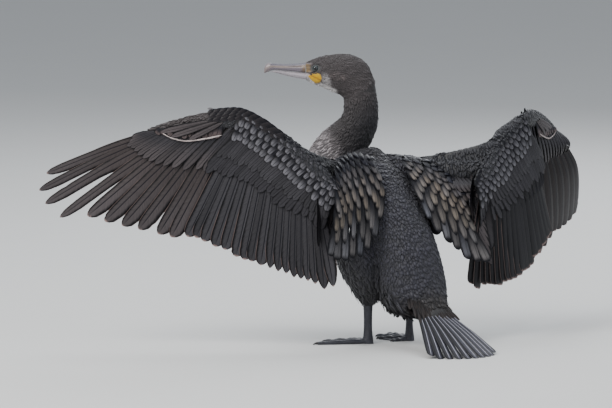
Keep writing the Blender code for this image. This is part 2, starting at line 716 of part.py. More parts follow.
def make_leg(side, torso):
    """Thigh, tarsus and foot of one leg."""
    place = LEG_PLACES[side]
    lean_to = (LEFT if side == "left" else RIGHT) * 8.0 + FORWARD * 10.0
    rings = []
    for z, radius, lean in ((TARSUS_TOP + GAP, 11.0, 0.0), (75.0, 20.0, 0.1), (90.0, 28.0, 0.3),
                            (108.0, 33.0, 0.6), (128.0, 37.0, 1.0), (150.0, 36.0, 1.4),
                            (172.0, 28.0, 1.6)):
        centre = place + lean_to * lean + UP * z + RIGHT * (3.0 if 70.0 < z < 100.0 else 0.0)
        rings.append(oval(centre, RIGHT * radius, FORWARD * radius * 1.15, 16))
    thigh = loft("thigh_" + side, rings)
    boolean(thigh, inflated(torso, GAP), "DIFFERENCE")
    keep_largest(thigh)
    rings = []
    ahead = compass(FOOT_TURN[side])
    across = ahead.cross(UP)
    for z, wide, deep in ((TARSUS_FOOT + GAP, 6.5, 8.0), (26.0, 4.6, 7.2), (45.0, 4.8, 7.4),
                          (TARSUS_TOP, 6.2, 8.2)):
        rings.append(oval(place + UP * z, across * wide, ahead * deep, 12))
    tarsus = loft("tarsus_" + side, rings)
    return [thigh, tarsus, make_foot(side)]


def make_foot(side):
    """A foot flat on the floor: an ankle block, four toes with claws and the webs between."""
    place = LEG_PLACES[side]
    outward = 1.0 if side == "left" else -1.0
    ahead = compass(FOOT_TURN[side])
    across = ahead.cross(UP)
    core = loft("foot_" + side, [
        oval(place + UP * z, across * wide, ahead * deep, 12)
        for z, wide, deep in ((-1.0, 8.5, 10.0), (8.0, 8.0, 9.5), (TARSUS_FOOT, 6.6, 8.2))
    ])
    pieces, ends = [], []
    for turn, length, thick in TOES:
        line = compass(FOOT_TURN[side] + turn * outward)
        flank = line.cross(UP)
        rings = []
        for s, size in ((0.0, 1.0), (0.45, 0.8), (0.85, 0.62), (0.93, 0.42), (1.0, 0.12)):
            half = thick * size
            rise = half * 0.75 - 1.0 if s < 0.9 else half * 0.6 - 0.4 + (3.0 if s < 0.95 else 0.0)
            rings.append(oval(place + line * length * s + UP * max(rise, 0.4), flank * half,
                              UP * half * 0.95, 8))
        pieces.append(loft("toe", rings))
        ends.append((line, length))
    for (near, near_length), (far, far_length) in zip(ends, ends[1:]):
        pieces.append(web(place, near, near_length * 0.84, far, far_length * 0.84))
    union_all(core, pieces)
    cut_at_floor(core)
    return core


def web(place, near, near_length, far, far_length):
    """The skin between two toes, its free edge drawn in."""
    bm = bmesh.new()
    rim = [place.copy()]
    for k in range(5):
        f = k / 4
        line = near.lerp(far, f).normalized()
        reach = near_length + (far_length - near_length) * f
        rim.append(place + line * reach * (1.0 - 0.55 * math.sin(math.pi * f) * 0.35))
    upper = [bm.verts.new(p + UP * (5.0 if k == 0 else 2.2)) for k, p in enumerate(rim)]
    lower = [bm.verts.new(p - UP * 0.8) for p in rim]
    count = len(rim)
    for k in range(1, count - 1):
        bm.faces.new((upper[0], upper[k], upper[k + 1]))
        bm.faces.new((lower[0], lower[k + 1], lower[k]))
    for k in range(count):
        n = (k + 1) % count
        bm.faces.new((upper[k], lower[k], lower[n], upper[n]))
    return new_object("web", bm)


def ball(name, centre, radius, rings=7, segments=12):
    """A closed ball."""
    bm = bmesh.new()
    bmesh.ops.create_uvsphere(bm, u_segments=segments, v_segments=rings, radius=radius)
    for vert in bm.verts:
        vert.co = vert.co + centre
    return new_object(name, bm)


def bill_part(name, rows, steps):
    """One half of the bill, through sections from its root to its tip."""
    rings = []
    for k in range(steps + 1):
        u, top, bottom, width = blend(rows, k / steps)
        upper, lower = sheet(u, top, HEAD_DEPTH), sheet(u, bottom, HEAD_DEPTH)
        rings.append(oval((upper + lower) / 2, TOWARD_VIEWER * width, (upper - lower) / 2, 12))
    return loft(name, rings)


def make_head(rows):
    """Head with its lids and the line of the mouth, the eyes, and the two halves of the bill."""
    first = len(TORSO_ROWS) + 1 + len(NECK_ROWS) - 0.5
    head = body_tube("head", rows, first, len(rows) - 1, 12, 20, (True, False))
    parts = [head]
    for side, sign in (("left", -1.0), ("right", 1.0)):
        centre = sheet(*EYE_PLACE, HEAD_DEPTH) + Vector((0.0, sign * EYE_SIDE, 0.0))
        parts.append(ball("eye_" + side, centre, EYE_RADIUS))
        union_all(head, [lid(centre, sign)])
        boolean(head, ball("socket", centre, EYE_RADIUS + GAP), "DIFFERENCE")
        boolean(head, groove("mouth_cut", MOUTH_LINE, sign, head_side, 0.5, 1.3), "DIFFERENCE")
    upper = bill_part("bill_upper", UPPER_BILL_ROWS, 12)
    for sign in (-1.0, 1.0):
        boolean(upper, groove("nostril_cut", NOSTRIL_LINE, sign, bill_side, 0.35, 0.7), "DIFFERENCE")
    return parts + [upper, bill_part("bill_lower", LOWER_BILL_ROWS, 10)]


def lid(centre, sign):
    """The ring of skin round an eye."""
    middle = Vector((centre.x, HEAD_DEPTH + sign * LID_SIDE, centre.z))
    bm = bmesh.new()
    loops = []
    for k in range(12):
        a = 2 * math.pi * k / 12
        out = Vector((math.cos(a), 0.0, math.sin(a) * 0.88))
        ring = oval(middle + out * LID_RADIUS, out.normalized() * LID_THICK,
                    Vector((0.0, sign * 1.5, 0.0)), 6)
        loops.append([bm.verts.new(p) for p in ring])
    for near, far in zip(loops, loops[1:] + loops[:1]):
        for k in range(6):
            n = (k + 1) % 6
            bm.faces.new((near[k], near[n], far[n], far[k]))
    return new_object("lid", bm)


def side_of(rows, u, v, top, bottom, width):
    """Half the thickness of the head or bill at (u, v), read from its rows of sections."""
    places = sorted((row[0], row) for row in rows)
    for (low, near), (high, far) in zip(places, places[1:]):
        if low <= u <= high:
            f = (u - low) / (high - low)
            mixed = [a + (b - a) * f for a, b in zip(near, far)]
            middle = (mixed[top] + mixed[bottom]) / 2
            share = min(abs(v - middle) / (abs(mixed[bottom] - mixed[top]) / 2), 0.98)
            return mixed[width] * math.sqrt(1 - share * share)
    return 0.0


def head_side(u, v):
    """Half the thickness of the head at (u, v)."""
    return side_of(HEAD_ROWS[3:], u, v, 1, 3, 5)


def bill_side(u, v):
    """Half the thickness of the upper bill at (u, v)."""
    return side_of(UPPER_BILL_ROWS, u, v, 1, 2, 3)


def groove(name, line, sign, half_at, half_high, deep):
    """A thin cutter along a line on one side of the head."""
    rings = []
    for k in range(7):
        u, v = blend(line, k / 6)
        inner = half_at(u, v) - deep
        size = half_high * (0.4 if k in (0, 6) else 1.0)
        place = sheet(u, v, HEAD_DEPTH + sign * (inner + 3.0))
        rings.append([place + UP * size + Vector((0.0, sign * -3.0, 0.0)),
                      place + UP * size + Vector((0.0, sign * 3.0, 0.0)),
                      place - UP * size + Vector((0.0, sign * 3.0, 0.0)),
                      place - UP * size + Vector((0.0, sign * -3.0, 0.0))])
    return loft(name, rings)


def paint(obj):
    """Gives a piece its own material."""
    red, green, blue, rough = COLOURS[obj.name.split("_")[0]]
    material = bpy.data.materials.new(obj.name + "_surface")
    material.use_nodes = True
    shader = material.node_tree.nodes["Principled BSDF"]
    shader.inputs["Base Color"].default_value = (red, green, blue, 1.0)
    shader.inputs["Roughness"].default_value = rough
    shader.inputs["Metallic"].default_value = 0.0
    obj.data.materials.clear()
    obj.data.materials.append(material)


def wing_tiers(wing):
    """The rows of feathers on a forearm and on a hand, the flight feathers first."""
    late = [((a + 3 * c) / 4, (b + 3 * d) / 4) for a, b, c, d, _ in FOREARM_ROWS]
    half = [((a + c) / 2, (b + d) / 2) for a, b, c, d, _ in FOREARM_ROWS]
    early = [((3 * a + c) / 4, (3 * b + d) / 4) for a, b, c, d, _ in FOREARM_ROWS]
    late[0], half[0], early[0] = (247.0, 131.5), (250.0, 127.0), (252.0, 120.0)
    forearm = (
        tier(SECONDARY_ROOTS, SECONDARY_TIPS, 15, (25.0, 22.0), BLUNT, (0.0, 0.0), (0.0, 0.0), 24.0),
        tier(late, SECONDARY_COVERT_TIPS, 10, (21.0, 24.0), ROUND, (5.0, 3.4), (0.6, 0.6), 13.0),
        tier(half, MEDIAN_TIPS, 9, (20.0, 23.0), ROUND, (7.5, 6.8), (1.2, 1.2), 7.0),
        tier(early, LESSER_TIPS, 6, (19.0, 21.0), ROUND, (6.6, 9.8), (1.8, 1.8), 4.0),
    )
    hand_late = [((a + 2 * c) / 3, (b + 2 * d) / 3) for a, b, c, d, _ in reversed(HAND_ROWS)][:-1]
    hand_late.append((233.0, 125.0))
    hand_half = [((a + c) / 2, (b + d) / 2) for a, b, c, d, _ in reversed(HAND_ROWS)][1:-1]
    if wing.side == "left":
        primaries, coverts, bow, rise = PRIMARY_TIPS, PRIMARY_COVERT_TIPS, (0.0, 0.0), 0.0
    else:
        primaries, coverts, bow, rise = FOLDED_PRIMARY_TIPS, FOLDED_COVERT_TIPS, FOLDED_BOW, 1.0
    return forearm, (
        tier(PRIMARY_ROOTS, primaries, 10, (21.0, 27.0), POINTED, (-1.0, -1.0), bow),
        tier(hand_late, coverts, 6, (15.0, 20.0), ROUND, (2.0, 2.3), (0.5 + 20.0 * rise, 0.5)),
        tier(hand_half, HAND_LESSER_TIPS, 3, (18.0, 20.0), ROUND, (3.5, 5.4 + 4.0 * rise), (1.2, 1.2)),
        tier(ALULA_ROOTS, ALULA_TIPS, 3, (12.0, 14.0), ROUND, (5.5, 7.2 + 2.0 * rise), (2.2, 2.2)),
    )


def tier(roots, tips, count, width, shape, lift, bow, belly=0.0):
    """One row of feathers: its curves on the sheet, how many, how wide, and how far they lie
    above the wing's middle at root and tip. Belly swells the row on the right wing."""
    return {"roots": roots, "tips": tips, "count": count, "width": width, "shape": shape,
            "lift": lift, "bow": bow, "belly": belly}


def main():
    """Builds every piece of the bird."""
    for obj in list(bpy.data.objects):
        bpy.data.objects.remove(obj)
    random.seed(SEED)
    rows = body_sections()
    torso_last = len(TORSO_ROWS)
    neck_last = torso_last + len(NECK_ROWS) + 0.5
    torso = body_tube("torso", rows, 0, torso_last, 15, 28)
    neck_bend = torso_last + NECK_BEND
    parts = [torso, body_tube("neck_lower", rows, torso_last, neck_bend, 7, 24),
             body_tube("neck_upper", rows, neck_bend, neck_last, 7, 24), *make_head(rows),
             make_tail()]
    for side in ("left", "right"):
        wing = Wing(side)
        forearm, hand = wing_tiers(wing)
        flesh = limb("flesh", wing, "forearm", FOREARM_ROWS, 6, 12)
        upper = arm_flesh(wing)
        parts.append(wing_arm("wing_%s_arm" % side, wing, torso, flesh))
        parts.append(cape("scapulars_" + side, wing, torso, upper, flesh))
        bpy.data.objects.remove(flesh)
        bpy.data.objects.remove(upper)
        parts.append(wing_segment("wing_%s_forearm" % side, wing, "forearm", FOREARM_ROWS, forearm))
        parts.append(wing_segment("wing_%s_hand" % side, wing, "hand", HAND_ROWS, hand))
        parts.extend(make_leg(side, torso))
    for obj in parts:
        paint(obj)
    put_on_origin(parts)


def put_on_origin(parts):
    """Hangs every piece on one empty that brings the bottom middle of the whole to the origin."""
    points = [vert.co for obj in parts for vert in obj.data.vertices]
    low = [min(p[k] for p in points) for k in range(3)]
    high = [max(p[k] for p in points) for k in range(3)]
    holder = bpy.data.objects.new("cormorant", None)
    bpy.context.scene.collection.objects.link(holder)
    holder.location = (-(low[0] + high[0]) / 2, -(low[1] + high[1]) / 2, -low[2])
    for obj in parts:
        obj.parent = holder


if __name__ == "__main__":
    main()
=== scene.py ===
"""The looks of a life-size cormorant that dries its wings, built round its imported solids.

Every length in the tables is in millimetres, and a place written (u, v) lies on the design sheet,
which looks along +Y, tilted down by six degrees, at 1.62 mm for each unit.
"""

import logging
import math
from dataclasses import dataclass, field
from enum import Enum

import bmesh
import bpy
import numpy as np
from mathutils import Matrix, Vector
from mathutils.bvhtree import BVHTree

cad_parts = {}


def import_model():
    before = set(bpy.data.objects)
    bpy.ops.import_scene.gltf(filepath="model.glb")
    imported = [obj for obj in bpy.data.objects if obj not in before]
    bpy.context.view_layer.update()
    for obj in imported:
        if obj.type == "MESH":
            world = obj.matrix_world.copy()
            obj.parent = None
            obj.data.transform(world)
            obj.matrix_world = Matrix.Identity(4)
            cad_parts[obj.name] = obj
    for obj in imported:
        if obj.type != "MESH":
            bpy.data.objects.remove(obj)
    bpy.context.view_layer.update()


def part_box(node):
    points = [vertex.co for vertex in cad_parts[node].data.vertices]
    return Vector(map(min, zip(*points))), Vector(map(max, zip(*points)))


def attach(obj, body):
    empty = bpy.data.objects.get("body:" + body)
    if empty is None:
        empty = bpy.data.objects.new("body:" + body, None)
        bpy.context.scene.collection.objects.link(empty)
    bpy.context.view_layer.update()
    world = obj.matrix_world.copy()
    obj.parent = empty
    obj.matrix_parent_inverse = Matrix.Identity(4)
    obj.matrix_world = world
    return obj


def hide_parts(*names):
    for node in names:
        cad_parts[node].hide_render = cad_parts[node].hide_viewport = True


LOG = logging.getLogger("cormorant")
MM = 0.001
SEED = 11
RIDES_ON = "root"

SHEET_SCALE = 1.62
SHEET_U0, SHEET_V0 = 385.0, 343.0
SHEET_TILT = math.radians(6.0)
FRAME_WIDTH, FRAME_HEIGHT = 612, 408

HEADING = math.radians(32.0)
UP = np.array((0.0, 0.0, 1.0))
FORWARD = np.array((-math.sin(HEADING), math.cos(HEADING), 0.0))
LEFT = np.array((-math.cos(HEADING), -math.sin(HEADING), 0.0))
RIGHT = -LEFT
TOWARD_VIEWER = np.array((0.0, -1.0, 0.0))
BODY_PITCH = math.radians(45.0)
TAILWARD = -FORWARD * math.cos(BODY_PITCH) - UP * math.sin(BODY_PITCH)
DORSAL = -FORWARD * math.sin(BODY_PITCH) + UP * math.cos(BODY_PITCH)

HEAD_DEPTH, HEAD_HEIGHT = 90.0, 395.0
EYE_PLACE = (315.3, 67.7)
EYE_RADIUS, EYE_SIDE = 5.2, 12.2
NECK_BASE = np.array((-36.0, 85.0, 281.0))


class Side(Enum):
    """The two sides of the bird."""

    LEFT = "left"
    RIGHT = "right"


class Segment(Enum):
    """The two stretches of a wing that carry flight feathers."""

    FOREARM = "forearm"
    HAND = "hand"


class Shape(Enum):
    """Outlines of a feather: (place along it, share on the leading side, share on the other)."""

    FINGER = ((0.0, 0.07, 0.08), (0.12, 0.3, 0.4), (0.4, 0.36, 0.64), (0.52, 0.34, 0.5),
              (0.6, 0.3, 0.42), (0.82, 0.28, 0.4), (0.92, 0.22, 0.3), (0.98, 0.1, 0.13),
              (1.0, 0.02, 0.02))
    PRIMARY = ((0.0, 0.07, 0.08), (0.12, 0.3, 0.42), (0.5, 0.36, 0.62), (0.84, 0.34, 0.6),
               (0.93, 0.28, 0.46), (0.98, 0.15, 0.24), (1.0, 0.04, 0.05))
    SECONDARY = ((0.0, 0.08, 0.08), (0.12, 0.36, 0.42), (0.55, 0.44, 0.55), (0.87, 0.44, 0.54),
                 (0.94, 0.36, 0.44), (0.985, 0.18, 0.22), (1.0, 0.04, 0.05))
    SPIKED = ((0.0, 0.08, 0.08), (0.12, 0.36, 0.42), (0.55, 0.44, 0.55), (0.8, 0.42, 0.5),
              (0.9, 0.3, 0.36), (0.97, 0.13, 0.16), (1.0, 0.03, 0.03))
    BROAD = ((0.0, 0.08, 0.08), (0.12, 0.36, 0.42), (0.55, 0.44, 0.55), (0.93, 0.44, 0.54),
             (0.975, 0.38, 0.46), (1.0, 0.2, 0.26))
    COVERT = ((0.0, 0.12, 0.12), (0.2, 0.36, 0.38), (0.6, 0.48, 0.5), (0.84, 0.44, 0.46),
              (0.95, 0.27, 0.28), (1.0, 0.05, 0.05))
    SCALE = ((0.0, 0.16, 0.16), (0.3, 0.42, 0.42), (0.66, 0.5, 0.5), (0.86, 0.4, 0.4),
             (0.95, 0.24, 0.24), (1.0, 0.05, 0.05))
    LONG = ((0.0, 0.1, 0.1), (0.25, 0.38, 0.4), (0.7, 0.48, 0.5), (0.9, 0.38, 0.4),
            (0.97, 0.2, 0.22), (1.0, 0.04, 0.04))
    LANCET = ((0.0, 0.2, 0.2), (0.35, 0.44, 0.44), (0.62, 0.5, 0.5), (0.78, 0.43, 0.43),
              (0.9, 0.26, 0.26), (0.97, 0.11, 0.11), (1.0, 0.03, 0.03))
    TAIL = ((0.0, 0.12, 0.12), (0.15, 0.3, 0.34), (0.6, 0.44, 0.5), (0.9, 0.46, 0.5),
            (0.96, 0.34, 0.38), (1.0, 0.1, 0.1))


def unit(vectors: np.ndarray) -> np.ndarray:
    """Vectors of length one along the last axis."""
    return vectors / np.maximum(np.linalg.norm(vectors, axis=-1, keepdims=True), 1e-12)


def blend(rows: np.ndarray, t: np.ndarray) -> np.ndarray:
    """Catmull-Rom through rows of values.

    Args:
        rows: One row of values per station.
        t: Places from 0 at the first station to 1 at the last.

    Returns:
        One row of values per place.
    """
    rows = np.asarray(rows, float)
    last = len(rows) - 1
    place = np.clip(np.asarray(t, float), 0.0, 1.0) * last
    i = np.minimum(place.astype(int), last - 1)
    f = (place - i)[..., None]
    p0, p1 = rows[np.maximum(i - 1, 0)], rows[i]
    p2, p3 = rows[i + 1], rows[np.minimum(i + 2, last)]
    return 0.5 * (2 * p1 + (p2 - p0) * f + (2 * p0 - 5 * p1 + 4 * p2 - p3) * f ** 2
                  + (3 * p1 - p0 - 3 * p2 + p3) * f ** 3)


def smooth(value: np.ndarray, low: float, high: float) -> np.ndarray:
    """A soft step from 0 at low to 1 at high."""
    f = np.clip((value - low) / (high - low), 0.0, 1.0)
    return f * f * (3 - 2 * f)


def mixed(first: np.ndarray, second: np.ndarray, share: np.ndarray) -> np.ndarray:
    """The first colour where the share is 0, fading to the second where it is 1."""
    share = np.asarray(share)[..., None]
    return first * (1 - share) + second * share


def ripple(points: np.ndarray, size: float, seed: float = 0.0) -> np.ndarray:
    """A cheap smooth noise between -1 and 1.

    Args:
        points: Places in millimetres.
        size: The spacing of its waves in millimetres.
        seed: A number that gives another pattern.

    Returns:
        One value per place.
    """
    total = np.zeros(len(points))
    for k, (a, b, c) in enumerate(((1.0, 0.7, -0.4), (-0.6, 1.1, 0.8), (0.5, -0.9, 1.2),
                                   (1.3, 0.3, 0.9))):
        wave = points @ np.array((a, b, c)) * (2 * math.pi / size) * (0.7 + 0.23 * k)
        total += np.sin(wave + seed * (k + 1.7) + 1.3 * np.sin(wave * 0.37 + k))
    return total / 4.0


def sheet(u: np.ndarray, v: np.ndarray, depth: np.ndarray) -> np.ndarray:
    """The design points at (u, v) on the sheet and at a depth."""
    u, v, depth = np.broadcast_arrays(*(np.asarray(a, float) for a in (u, v, depth)))
    height = (SHEET_V0 - v) * SHEET_SCALE
    z = (height - depth * math.sin(SHEET_TILT)) / math.cos(SHEET_TILT)
    return np.stack(((u - SHEET_U0) * SHEET_SCALE, depth, z), axis=-1)


def on_sheet(points: np.ndarray) -> tuple[np.ndarray, np.ndarray]:
    """Where design points fall on the sheet."""
    height = points[:, 2] * math.cos(SHEET_TILT) + points[:, 1] * math.sin(SHEET_TILT)
    return SHEET_U0 + points[:, 0] / SHEET_SCALE, SHEET_V0 - height / SHEET_SCALE


class Place:
    """Where the design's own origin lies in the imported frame."""

    shift = np.zeros(3)

    @classmethod
    def settle(cls) -> None:
        """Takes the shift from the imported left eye."""
        low, high = (np.array(corner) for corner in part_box("eye_left"))
        cls.shift = (low + high) / 2 - sheet(*EYE_PLACE, HEAD_DEPTH - EYE_SIDE) * MM

    @classmethod
    def world(cls, points: np.ndarray) -> np.ndarray:
        """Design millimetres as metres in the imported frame."""
        return np.asarray(points) * MM + cls.shift

    @classmethod
    def design(cls, points: np.ndarray) -> np.ndarray:
        """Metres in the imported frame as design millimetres."""
        return (np.asarray(points) - cls.shift) / MM


@dataclass
class Tube:
    """A smooth tube through oval stations, each a centre, a side and a rise vector."""

    stations: np.ndarray

    @classmethod
    def through(cls, ovals: list) -> "Tube":
        """The tube through a list of (centre, side, rise)."""
        return cls(np.array(ovals).reshape(-1, 9))

    def sections(self, t: np.ndarray, inset: float = 0.0) -> tuple[np.ndarray, ...]:
        """The ovals at places along the tube.

        Args:
            t: Places from 0 to 1.
            inset: How far inside the tube, in millimetres.

        Returns:
            The centres, sides and rises.
        """
        values = blend(self.stations, np.atleast_1d(t))
        centre, side, rise = values[:, 0:3], values[:, 3:6], values[:, 6:9]
        wide = np.linalg.norm(side, axis=1, keepdims=True)
        high = np.linalg.norm(rise, axis=1, keepdims=True)
        return (centre, side * np.maximum(1 - inset / wide, 0.3),
                rise * np.maximum(1 - inset / high, 0.3))

    def points(self, t: np.ndarray, turn: np.ndarray, inset: float = 0.0) -> np.ndarray:
        """Points of the surface at places along and turns round the tube."""
        centre, side, rise = self.sections(t, inset)
        return centre + side * np.cos(turn)[:, None] + rise * np.sin(turn)[:, None]

    def scatter(self, along: float, across: float, ends: tuple[float, float],
                rng: np.random.Generator) -> tuple[np.ndarray, np.ndarray]:
        """Evenly spread, slightly strayed places on the surface, in staggered rows.

        Args:
            along: The spacing of the rows.
            across: The spacing within a row.
            ends: The stretch of the tube.
            rng: The source of the strays.

        Returns:
            Places along and turns round the tube.
        """
        fine = np.linspace(ends[0], ends[1], 400)
        centre = self.sections(fine)[0]
        run = np.concatenate(([0.0], np.cumsum(np.linalg.norm(np.diff(centre, axis=0), axis=1))))
        rows = np.interp(np.arange(0.0, run[-1], along), run, fine)
        places, turns = [], []
        for k, t in enumerate(rows):
            _, s, r = self.sections(t)
            a, b = np.linalg.norm(s), np.linalg.norm(r)
            around = math.pi * (3 * (a + b) - math.sqrt((3 * a + b) * (a + 3 * b)))
            count = max(int(around / across), 6)
            turn = (np.arange(count) + 0.5 * (k % 2)) * 2 * math.pi / count
            turns.append(turn + rng.uniform(-0.3, 0.3, count) * 2 * math.pi / count)
            step = rng.uniform(-0.2, 0.2, count) + 0.55 * np.sin(turn * 9.0 + 0.8 * k)
            step = step * along * (ends[1] - ends[0]) / run[-1]
            places.append(np.clip(t + step, 0.0, 1.0))
        return np.concatenate(places), np.concatenate(turns)


@dataclass
class Body:
    """The tube of torso, neck and head, from the tail's root to the bill's root."""

    # distance from the neck's base, shift out of the back, half width, half depth
    torso_rows: tuple = (
        (22.0, -4.0, 56.0, 47.0), (60.0, -2.0, 63.0, 55.0), (110.0, 0.0, 62.0, 60.0),
        (160.0, -5.0, 57.0, 64.0), (205.0, -14.0, 56.0, 66.0), (245.0, -22.0, 55.0, 58.0),
        (278.0, -15.0, 43.0, 37.0), (300.0, -3.0, 31.0, 18.0),
    )
    # places of the back and front edges on the sheet, depth, half width, how far turned
    neck_rows: tuple = (
        (366.5, 160.5, 311.0, 154.5, 110.0, 43.0, 0.35),
        (368.5, 149.0, 312.0, 144.0, 116.0, 40.0, 0.12),
        (374.0, 139.5, 320.5, 133.0, 114.0, 37.0, 0.0),
        (378.3, 127.8, 330.5, 124.5, 107.0, 34.0, 0.0),
        (379.8, 116.0, 338.5, 118.6, 100.0, 31.5, 0.0),
        (379.2, 104.0, 342.6, 112.0, 95.0, 29.5, 0.0),
        (377.2, 91.0, 343.3, 104.5, 91.5, 27.5, 0.0),
    )
    head_rows: tuple = (
        (373.4, 75.6, 342.5, 98.8, 90.0, 25.5, 0.0), (366.6, 62.4, 340.0, 95.4, 90.0, 24.0, 0.0),
        (355.0, 54.9, 335.5, 92.8, 90.0, 23.0, 0.0), (342.4, 52.9, 330.5, 90.5, 90.0, 22.0, 0.0),
        (330.5, 54.0, 324.5, 87.8, 90.0, 20.0, 0.0), (320.0, 56.0, 317.5, 85.2, 90.0, 17.0, 0.0),
        (311.0, 59.2, 311.0, 82.3, 90.0, 12.5, 0.0), (305.5, 61.6, 306.0, 79.6, 90.0, 9.3, 0.0),
    )

    def tube(self) -> Tube:
        """The whole tube."""
        rows = []
        for s, shift, width, depth in reversed(self.torso_rows):
            centre = NECK_BASE + TAILWARD * s + DORSAL * shift
            rows.append((centre, LEFT * width, DORSAL * depth))
        side = unit(LEFT * 0.8 + TOWARD_VIEWER * 0.2)
        rows.append((NECK_BASE + (-8.0, 8.0, 0.0), side * 50.0, DORSAL * 46.0))
        for back_u, back_v, front_u, front_v, y, width, turned in self.neck_rows + self.head_rows:
            back, front = sheet(back_u, back_v, y), sheet(front_u, front_v, y)
            side = unit(TOWARD_VIEWER * (1 - turned) + LEFT * turned)
            rows.append(((back + front) / 2, side * width, (back - front) / 2))
        return Tube.through(rows)

    @property
    def neck_start(self) -> float:
        """The place along the tube where the torso ends."""
        return len(self.torso_rows) / self.last

    @property
    def head_start(self) -> float:
        """The place along the tube where the head begins."""
        return (len(self.torso_rows) + len(self.neck_rows) + 0.5) / self.last

    @property
    def last(self) -> int:
        """The number of the last station."""
        return len(self.torso_rows) + len(self.neck_rows) + len(self.head_rows)

    def push_out(self, points: np.ndarray, clear: float) -> np.ndarray:
        """Moves points out of the torso until they are clear of it.

        Args:
            points: Design points.
            clear: The least distance from the torso.

        Returns:
            The moved points.
        """
        rows = np.array(self.torso_rows)
        from_neck = points - NECK_BASE
        s = from_neck @ TAILWARD
        shift, width, depth = (np.interp(s, rows[:, 0], rows[:, k]) for k in (1, 2, 3))
        across, above = from_neck @ LEFT, from_neck @ DORSAL - shift
        reach = np.maximum(np.hypot(across / (width + clear), above / (depth + clear)), 1e-6)
        grown = (NECK_BASE + TAILWARD * s[:, None] + LEFT * (across / reach)[:, None]
                 + DORSAL * (above / reach + shift)[:, None])
        return np.where((reach < 1.0)[:, None], grown, points)


